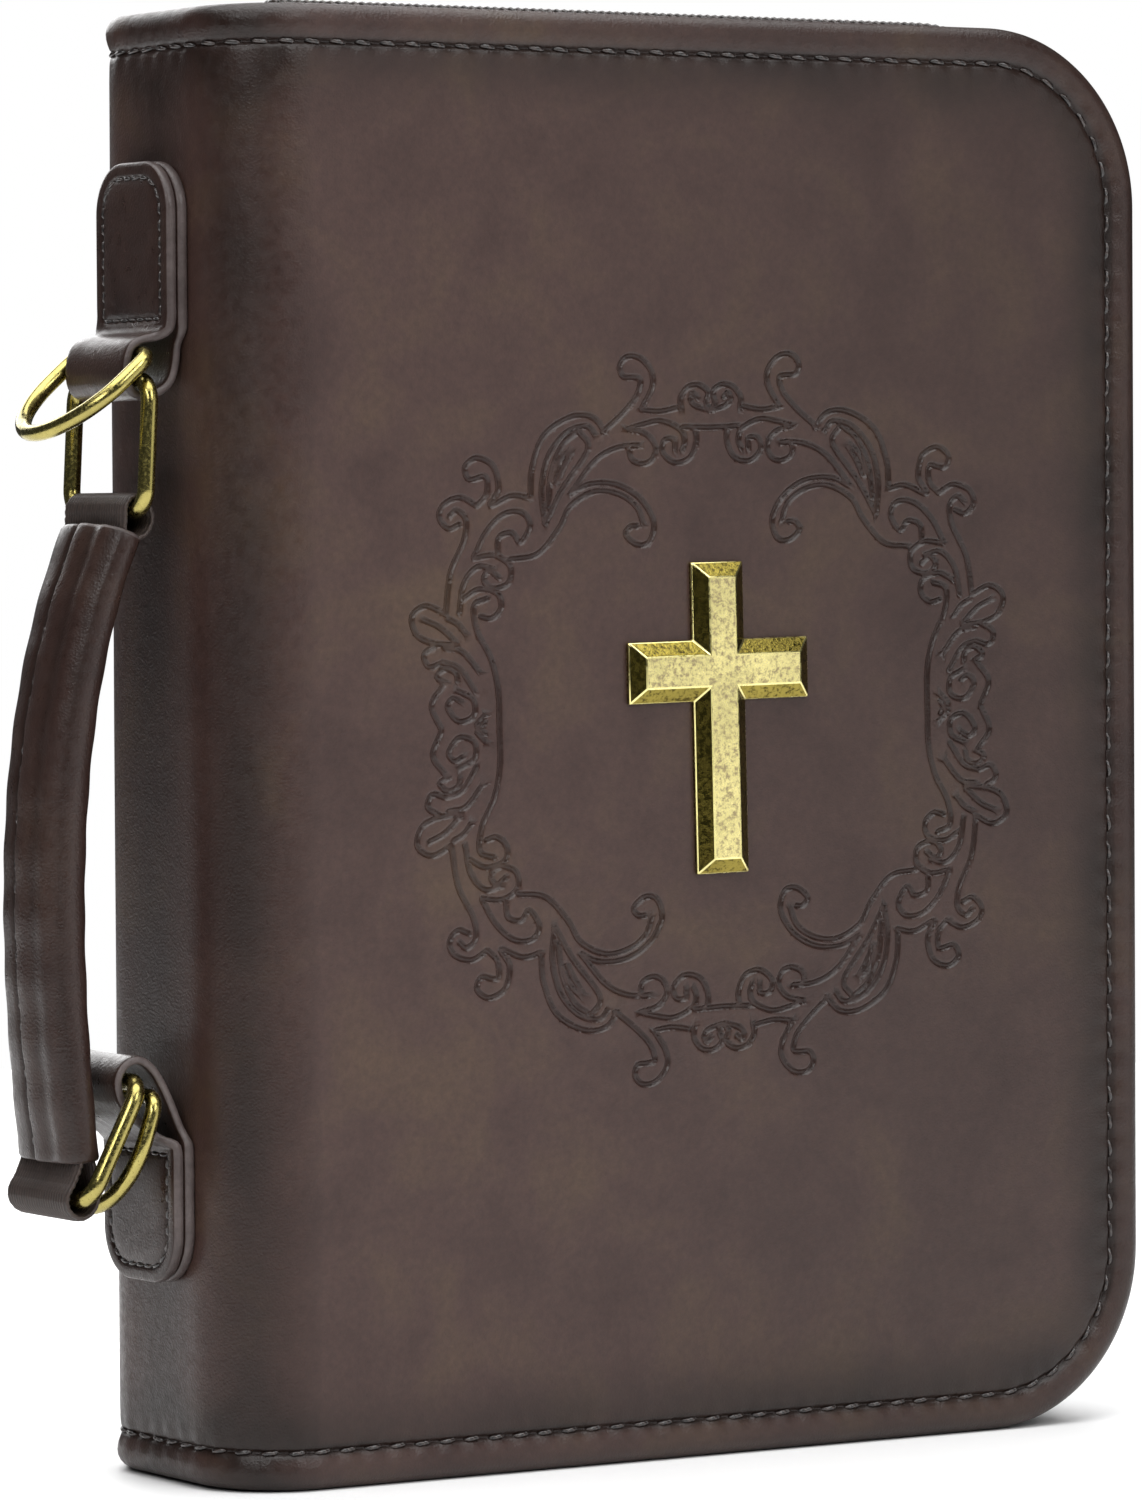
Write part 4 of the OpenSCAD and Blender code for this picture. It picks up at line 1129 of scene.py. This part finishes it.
wire_ring("upper_rect_ring_wire", rect_outline(RECT_R), UPPER_BAR, UPPER_BAR_ANGLE, RECT_R, "upper_ring")
wire_ring("lower_rect_ring_wire", rect_outline(RECT_R), LOWER_BAR, LOWER_BAR_ANGLE, RECT_R, "lower_ring")
wire_ring("upper_d_ring_wire", dee_outline(DEE_R), UPPER_DEE, UPPER_DEE_ANGLE, DEE_R, "upper_dee")
wire_ring("lower_d_ring_wire", dee_outline(DEE_R), LOWER_DEE, LOWER_DEE_ANGLE, DEE_R, "lower_dee")

UPPER_LOOP = from_middle([
    (-3.4, 78.5), (-3.9, 76.2), (-5.4, 74.9), (-7.9, 74.4), (-10.3, 73.1), (-11.4, 70.2), (-11.4, 67),
    (-10.3, 64.9), (-8.0, 64.1), (-5.2, 64.7), (-2.6, 66.6), (-1.4, 70), (-1.1, 74)])
LOWER_LOOP = from_middle([
    (-3.4, -74.5), (-3.8, -72.3), (-5.6, -71.2), (-8.6, -69), (-11.8, -66.2), (-13.9, -63.2), (-14.4, -60),
    (-13, -57.4), (-10.3, -56.4), (-7.5, -58), (-5.1, -61.6), (-2.6, -67), (-1.3, -71)])
upper_line = strap_tab("upper_tab_strap", MID_Z + 76, 1, UPPER_TAB, UPPER_LOOP, "upper_tab")
lower_line = strap_tab("lower_tab_strap", MID_Z - 72, -1, LOWER_TAB, LOWER_LOOP, "lower_tab")
tab_thread = tab_stitches([(upper_line, 1, UPPER_TAB), (lower_line, -1, LOWER_TAB)])
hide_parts("tab_stitching")
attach(tab_thread, "spine")

grip = handle_sleeve()
handle_stitches(grip)
handle_webbing(grip)
gold_cross()

for end, width in (("slider", 0.35), ("pull", 0.25)):
    for level in ("upper_", "lower_"):
        softened(level + end, level + end + ("_body" if end == "slider" else "_tag"), [ZIP_METAL],
                 width, 3)
softened("bible_front_board", "book_front", [BOOKCLOTH], 0.5, 3)
softened("bible_back_board", "book_back", [BOOKCLOTH], 0.5, 3)
softened("bible_spine_cover", "book_spine", [BOOKCLOTH], 0.4, 3, angle=60)

for node, material in (("bible_pages", PAGES), ("bible_headbands", BAND), ("bible_ribbon", RIBBON),
                       ("front_sleeve", LINING), ("back_sleeve", LINING), ("front_board", BOARD),
                       ("back_board", BOARD), ("spine_stiffener", BOARD), ("handle_padding", FOAM),
                       ("cross_studs", ZIP_METAL)):
    mesh = frame["nodes"][node].data
    mesh.materials.clear()
    mesh.materials.append(material)


# ---------------------------------------------------------------- floor, light and camera
FLOOR_R, FLOOR_SIDES = 950, 128


def pale_floor():
    p = Paint("pale floor", 0.6)
    p.colour(p.ramp(p.noise(0.01, 2.0), (0.3, 0.90), (0.7, 0.93)))
    turns = np.arange(FLOOR_SIDES) * math.pi / (FLOOR_SIDES / 2)
    verts = [(FLOOR_R * math.cos(a), FLOOR_R * math.sin(a), -0.2) for a in turns]
    mesh = bpy.data.meshes.new("floor")
    mesh.from_pydata([tuple(c * MM for c in v) for v in verts], [], [list(range(FLOOR_SIDES))])
    mesh.materials.append(p.material)
    floor = bpy.data.objects.new("floor", mesh)
    bpy.context.scene.collection.objects.link(floor)


def softbox(name, position, target, size, power):
    data = bpy.data.lights.new(name, "AREA")
    data.shape = "RECTANGLE"
    data.size, data.size_y = size
    data.energy = power
    lamp = bpy.data.objects.new(name, data)
    lamp.location = position
    lamp.rotation_mode = "QUATERNION"
    lamp.rotation_quaternion = (Vector(target) - Vector(position)).to_track_quat("-Z", "Z")
    lamp.visible_camera = False
    bpy.context.scene.collection.objects.link(lamp)


def studio():
    """A pale surround for the camera, dimmer than it looks for the object, and soft boxes round it."""
    world = bpy.data.worlds.new("studio")
    bpy.context.scene.world = world
    world.use_nodes = True
    nodes, links = world.node_tree.nodes, world.node_tree.links
    seen = nodes["Background"]
    seen.inputs["Color"].default_value = (1, 1, 1, 1)
    seen.inputs["Strength"].default_value = 1.0
    lit = nodes.new("ShaderNodeBackground")
    lit.inputs["Color"].default_value = (0.93, 0.96, 1.0, 1)
    lit.inputs["Strength"].default_value = 0.07
    ray = nodes.new("ShaderNodeLightPath")
    both = nodes.new("ShaderNodeMixShader")
    links.new(ray.outputs["Is Camera Ray"], both.inputs["Fac"])
    links.new(lit.outputs["Background"], both.inputs[1])
    links.new(seen.outputs["Background"], both.inputs[2])
    links.new(both.outputs["Shader"], nodes["World Output"].inputs["Surface"])
    middle = (0, 0, 0.14)
    softbox("key_left", (-1.2, -0.8, 1.0), middle, (0.3, 1.0), 7)
    softbox("key_front", (0.25, -1.65, 1.2), middle, (0.7, 0.9), 12)
    softbox("right_card", (1.1, -1.5, 0.35), middle, (1.0, 1.2), 4)
    softbox("overhead", (0.0, -0.1, 1.8), (0, 0, 0), (2.2, 2.2), 62)
    softbox("back_fill", (0.3, 1.5, 0.9), middle, (1.2, 1.0), 14)


CAMERA_AT = (-626.6, -1151.1, 177.6)
CAMERA_TURN = (31.89, 1.91, -0.355)
CAMERA_LENS = 171.25


def camera():
    """The camera stands off the spine's corner, level with the upper half of the case."""
    azimuth, pitch, roll = (math.radians(a) for a in CAMERA_TURN)
    stand = place(CAMERA_AT)
    ahead = Vector((math.sin(azimuth) * math.cos(pitch), math.cos(azimuth) * math.cos(pitch),
                    -math.sin(pitch)))
    right = Vector((math.cos(azimuth), -math.sin(azimuth), 0))
    up = right.cross(ahead)
    right, up = (math.cos(roll) * right + math.sin(roll) * up, math.cos(roll) * up - math.sin(roll) * right)
    data = bpy.data.cameras.new("camera")
    data.lens = CAMERA_LENS
    data.sensor_width = 36
    data.clip_start, data.clip_end = 0.05, 50
    made = bpy.data.objects.new("camera", data)
    made.matrix_world = Matrix.Translation(stand) @ Matrix((right, up, -ahead)).transposed().to_4x4()
    bpy.context.scene.collection.objects.link(made)
    bpy.context.scene.camera = made


pale_floor()
studio()
camera()
bpy.context.scene.view_settings.view_transform = "Standard"
